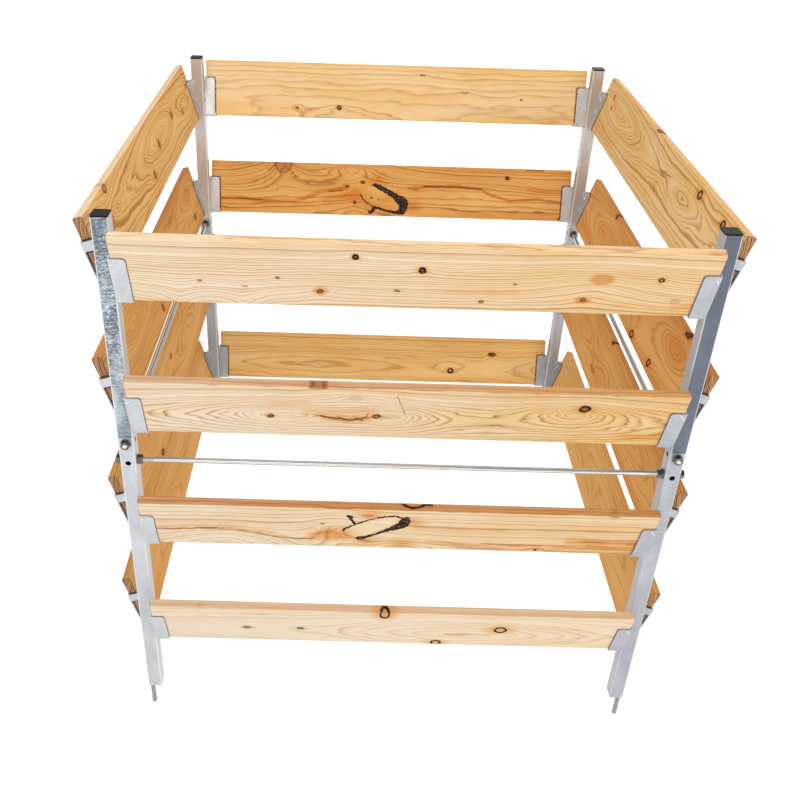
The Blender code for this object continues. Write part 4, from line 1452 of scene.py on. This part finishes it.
class BIN_OT_rods(bpy.types.Operator):
    """Build the four tie rods with their threads and flanged nuts"""
    bl_idname = "compost_bin.rods"
    bl_label = "Tie rods and nuts"

    def execute(self, context):
        fittings = context.scene.bin_fittings
        # The rods and nuts are painted darker on top, as a painted reflection
        bright = plated_material(
            "rod_zinc", fittings.rod, low=0.94, high=1.06, metallic=0.9, roughness=0.24,
            grain=(24, 160, 160), painted_top_shade=0.65)
        dark = plated_material(
            "nut_zinc", fittings.nut, low=0.7, high=1.3, metallic=0.9, roughness=0.30,
            grain=(420, 420, 420), painted_top_shade=0.85)
        rod = rod_mesh("tie_rod_shape", fittings)
        nut = nut_mesh("rod_nut_shape")

        # Along the rod, and which way the nut's face looks, for the two nuts at each post
        gap = 0.0003
        outer, inner = TUBE_OUTSIDE + gap, TUBE_FACE - gap
        seats = ((-outer, 180), (-inner, 0), (inner, 180), (outer, 0))
        for side in SIDES:
            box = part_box(side + "_tie_rod")
            place = rod_place(side, (box[0].z + box[1].z) / 2)
            add_piece(side + "_threaded_rod", rod, bright, FRAME_BODY, place,
                      [side + "_tie_rod"])
            for number, (along, facing) in enumerate(seats, 1):
                seat = place @ Matrix.Translation((along, 0, 0)) @ turned(facing)
                own_turn = 17 * number + SIDES[side]  # so that no two nuts stand alike
                wrench_turn = Matrix.Rotation(math.radians(own_turn), 4, "X")
                add_piece(f"{side}_flange_nut_{number}", nut, dark, FRAME_BODY,
                          seat @ wrench_turn, [f"{side}_rod_nut_{number}"])
        return {"FINISHED"}


# Caps and spikes

def plastic_material(name, base, gloss):
    """Dull black plastic with a fine moulded grain."""
    material, sheet, shader, place = new_material(name)
    grain = sheet.noise(place, 900.0, 2.0, 0.6)
    sheet.feed(shader.inputs["Base Color"], sheet.mix(grain, base, shade(base, 1.8)))
    sheet.feed(shader.inputs["Roughness"], sheet.remap(grain, 0.3, 0.7, 0.42, 0.58))
    shader.inputs["Specular IOR Level"].default_value = gloss
    sheet.feed(shader.inputs["Normal"], sheet.bump(grain, 0.3, 0.0001))
    return material


class BIN_OT_ends(bpy.types.Operator):
    """Finish the caps on the posts and the spikes at their feet"""
    bl_idname = "compost_bin.ends"
    bl_label = "Caps and spikes"

    def execute(self, context):
        fittings = context.scene.bin_fittings
        cap = plastic_material("cap_plastic", fittings.cap, fittings.cap_gloss)
        spike = plated_material(
            "spike_zinc", fittings.spike, low=0.75, high=1.1, metallic=0.6, roughness=0.4,
            grain=(300, 300, 120))
        for corner in CORNERS:
            refinish(corner + "_cap", cap, fittings.cap_easing)
            refinish(corner + "_ground_spike", spike)
        return {"FINISHED"}


# Studio

# The camera's place in metres and its angles in degrees, as worked out from the photograph
CAMERA_AT = (-0.1043, -1.9449, 1.7878)
CAMERA_YAW, CAMERA_PITCH, CAMERA_ROLL = (math.radians(a) for a in (-0.3098, 31.3518, 1.7803))

# Its focal length, the photograph's side and its optical middle, in pixels
FOCAL_PIXELS, PHOTO_SIDE = 943.02, 800
PHOTO_MIDDLE = (352.97, 359.26)
SENSOR = 36.0

# Place, target and size of each soft lamp
LAMPS = {
    "key": ((-0.9, -2.9, 3.2), (0, 0, 0.5), (2.4, 2.4)),
    "fill": ((2.3, -2.3, 1.7), (-0.3, 0, 0.7), (2.0, 1.6)),
    "back": ((0.9, 3.0, 2.4), (-0.2, 0, 0.6), (2.4, 2.0)),
    "top": ((0.0, 0.2, 4.2), (0, 0.1, 0.0), (3.2, 3.2)),
}


def plain_to_eye(sheet):
    """1 where the camera, glossy or clear rays look, for a background that shows as it is."""
    path = sheet.node("ShaderNodeLightPath").outputs
    seen = sheet.maths("MAXIMUM", path["Is Camera Ray"], path["Is Glossy Ray"])
    return sheet.maths("MAXIMUM", seen, path["Is Transmission Ray"])


def paper_material(colour):
    """Pale paper that takes the bin's shadow and fades to plain white away from it."""
    material = bpy.data.materials.new("floor_paper")
    material.use_nodes = True
    sheet = Sheet(material.node_tree)
    nodes = material.node_tree.nodes
    nodes.remove(nodes["Principled BSDF"])
    paper = sheet.node("ShaderNodeBsdfDiffuse", {"Color": colour})
    place = sheet.node("ShaderNodeTexCoord").outputs["Object"]
    far = sheet.remap(sheet.vector("LENGTH", place), 0.8, 3.5, 0.4, 1.0)
    glow = sheet.node("ShaderNodeEmission", {"Color": (1.0, 1.0, 1.0), "Strength": far})
    both = sheet.node("ShaderNodeAddShader")
    sheet.feed(both.inputs[0], paper.outputs[0])
    sheet.feed(both.inputs[1], glow.outputs[0])
    choice = sheet.node("ShaderNodeMixShader")
    sheet.feed(choice.inputs[0], plain_to_eye(sheet))
    sheet.feed(choice.inputs[1], paper.outputs[0])
    sheet.feed(choice.inputs[2], both.outputs[0])
    sheet.feed(nodes["Material Output"].inputs["Surface"], choice.outputs[0])
    return material


def lay_floor(scene, studio):
    """A square of paper under the bin."""
    half = studio.floor_size / 2
    corners = [(-half, -half, 0), (half, -half, 0), (half, half, 0), (-half, half, 0)]
    mesh = bpy.data.meshes.new("floor")
    mesh.from_pydata(corners, [], [(0, 1, 2, 3)])
    mesh.materials.append(paper_material(studio.floor))
    floor = bpy.data.objects.new("floor", mesh)
    scene.collection.objects.link(floor)
    floor.location.z = -0.0005  # so that nothing of the bin lies in its plane


def light_world(scene, sky):
    """A white world that lights the bin at the strength of the sky."""
    world = bpy.data.worlds.new("studio")
    scene.world = world
    world.use_nodes = True
    sheet = Sheet(world.node_tree)
    background = world.node_tree.nodes["Background"]
    background.inputs["Color"].default_value = (1, 1, 1, 1)
    strength = sheet.remap(plain_to_eye(sheet), 0.0, 1.0, sky, 1.0, smooth=False)
    sheet.feed(background.inputs["Strength"], strength)


def hang_lamp(scene, name, place, target, size, power):
    """A soft rectangular lamp that points at its target."""
    lamp = bpy.data.lights.new(name, "AREA")
    lamp.shape = "RECTANGLE"
    lamp.size, lamp.size_y = size
    lamp.energy = power
    holder = bpy.data.objects.new(name, lamp)
    scene.collection.objects.link(holder)
    holder.location = place
    aim = Vector(target) - Vector(place)
    holder.rotation_euler = aim.to_track_quat("-Z", "Y").to_euler()


def camera_matrix():
    """Where the camera stands, by its yaw, its pitch down and its roll."""
    forward = Vector((-math.sin(CAMERA_YAW) * math.cos(CAMERA_PITCH),
                      math.cos(CAMERA_YAW) * math.cos(CAMERA_PITCH), -math.sin(CAMERA_PITCH)))
    level_right = Vector((math.cos(CAMERA_YAW), math.sin(CAMERA_YAW), 0))
    level_up = level_right.cross(forward)
    cosine, sine = math.cos(CAMERA_ROLL), math.sin(CAMERA_ROLL)
    right = cosine * level_right + sine * level_up
    up = -sine * level_right + cosine * level_up
    matrix = Matrix((right, up, -forward)).transposed().to_4x4()
    matrix.translation = CAMERA_AT
    return matrix


def set_camera(scene):
    """The photograph's camera, shifted as its optical middle is off the photograph's."""
    camera = bpy.data.cameras.new("photo_camera")
    camera.sensor_width = SENSOR
    camera.lens = FOCAL_PIXELS * SENSOR / PHOTO_SIDE
    camera.shift_x = (PHOTO_SIDE / 2 - PHOTO_MIDDLE[0]) / PHOTO_SIDE
    camera.shift_y = (PHOTO_MIDDLE[1] - PHOTO_SIDE / 2) / PHOTO_SIDE
    camera.clip_end = 100
    holder = bpy.data.objects.new("photo_camera", camera)
    scene.collection.objects.link(holder)
    holder.matrix_world = camera_matrix()
    scene.camera = holder


class BIN_OT_studio(bpy.types.Operator):
    """Set the floor, the soft lamps and the camera"""
    bl_idname = "compost_bin.studio"
    bl_label = "Studio"

    def execute(self, context):
        scene = context.scene
        studio = scene.bin_studio
        lay_floor(scene, studio)
        light_world(scene, studio.sky)
        for name, (place, target, size) in LAMPS.items():
            hang_lamp(scene, name + "_lamp", place, target, size, getattr(studio, name))
        set_camera(scene)
        scene.view_settings.view_transform = "Standard"
        return {"FINISHED"}


# Add-on

SETTINGS = {"bin_wood": WoodSettings, "bin_steel": SteelSettings,
            "bin_fittings": FittingSettings, "bin_studio": StudioSettings}
PIECES = {
    "bin_wood": [BIN_OT_boards],
    "bin_steel": [BIN_OT_posts, BIN_OT_welds],
    "bin_fittings": [BIN_OT_rods, BIN_OT_ends],
    "bin_studio": [BIN_OT_studio],
}


class BIN_PT_panel(bpy.types.Panel):
    """Sizes, colours and pieces of the compost bin"""
    bl_label = "Compost bin"
    bl_idname = "BIN_PT_panel"
    bl_space_type = "VIEW_3D"
    bl_region_type = "UI"
    bl_category = "Compost bin"

    def draw(self, context):
        for settings, operators in PIECES.items():
            box = self.layout.box()
            group = getattr(context.scene, settings)
            for setting in group.bl_rna.properties.keys():
                if setting not in ("rna_type", "name"):
                    box.prop(group, setting)
            for operator in operators:
                box.operator(operator.bl_idname)


def register():
    for name, group in SETTINGS.items():
        bpy.utils.register_class(group)
        setattr(bpy.types.Scene, name, bpy.props.PointerProperty(type=group))
    for operators in PIECES.values():
        for operator in operators:
            bpy.utils.register_class(operator)
    bpy.utils.register_class(BIN_PT_panel)


def unregister():
    bpy.utils.unregister_class(BIN_PT_panel)
    for operators in PIECES.values():
        for operator in operators:
            bpy.utils.unregister_class(operator)
    for name, group in SETTINGS.items():
        delattr(bpy.types.Scene, name)
        bpy.utils.unregister_class(group)


def main():
    register()
    bpy.ops.compost_bin.boards()
    bpy.ops.compost_bin.posts()
    bpy.ops.compost_bin.welds()
    bpy.ops.compost_bin.rods()
    bpy.ops.compost_bin.ends()
    bpy.ops.compost_bin.studio()


if __name__ == "__main__":
    main()
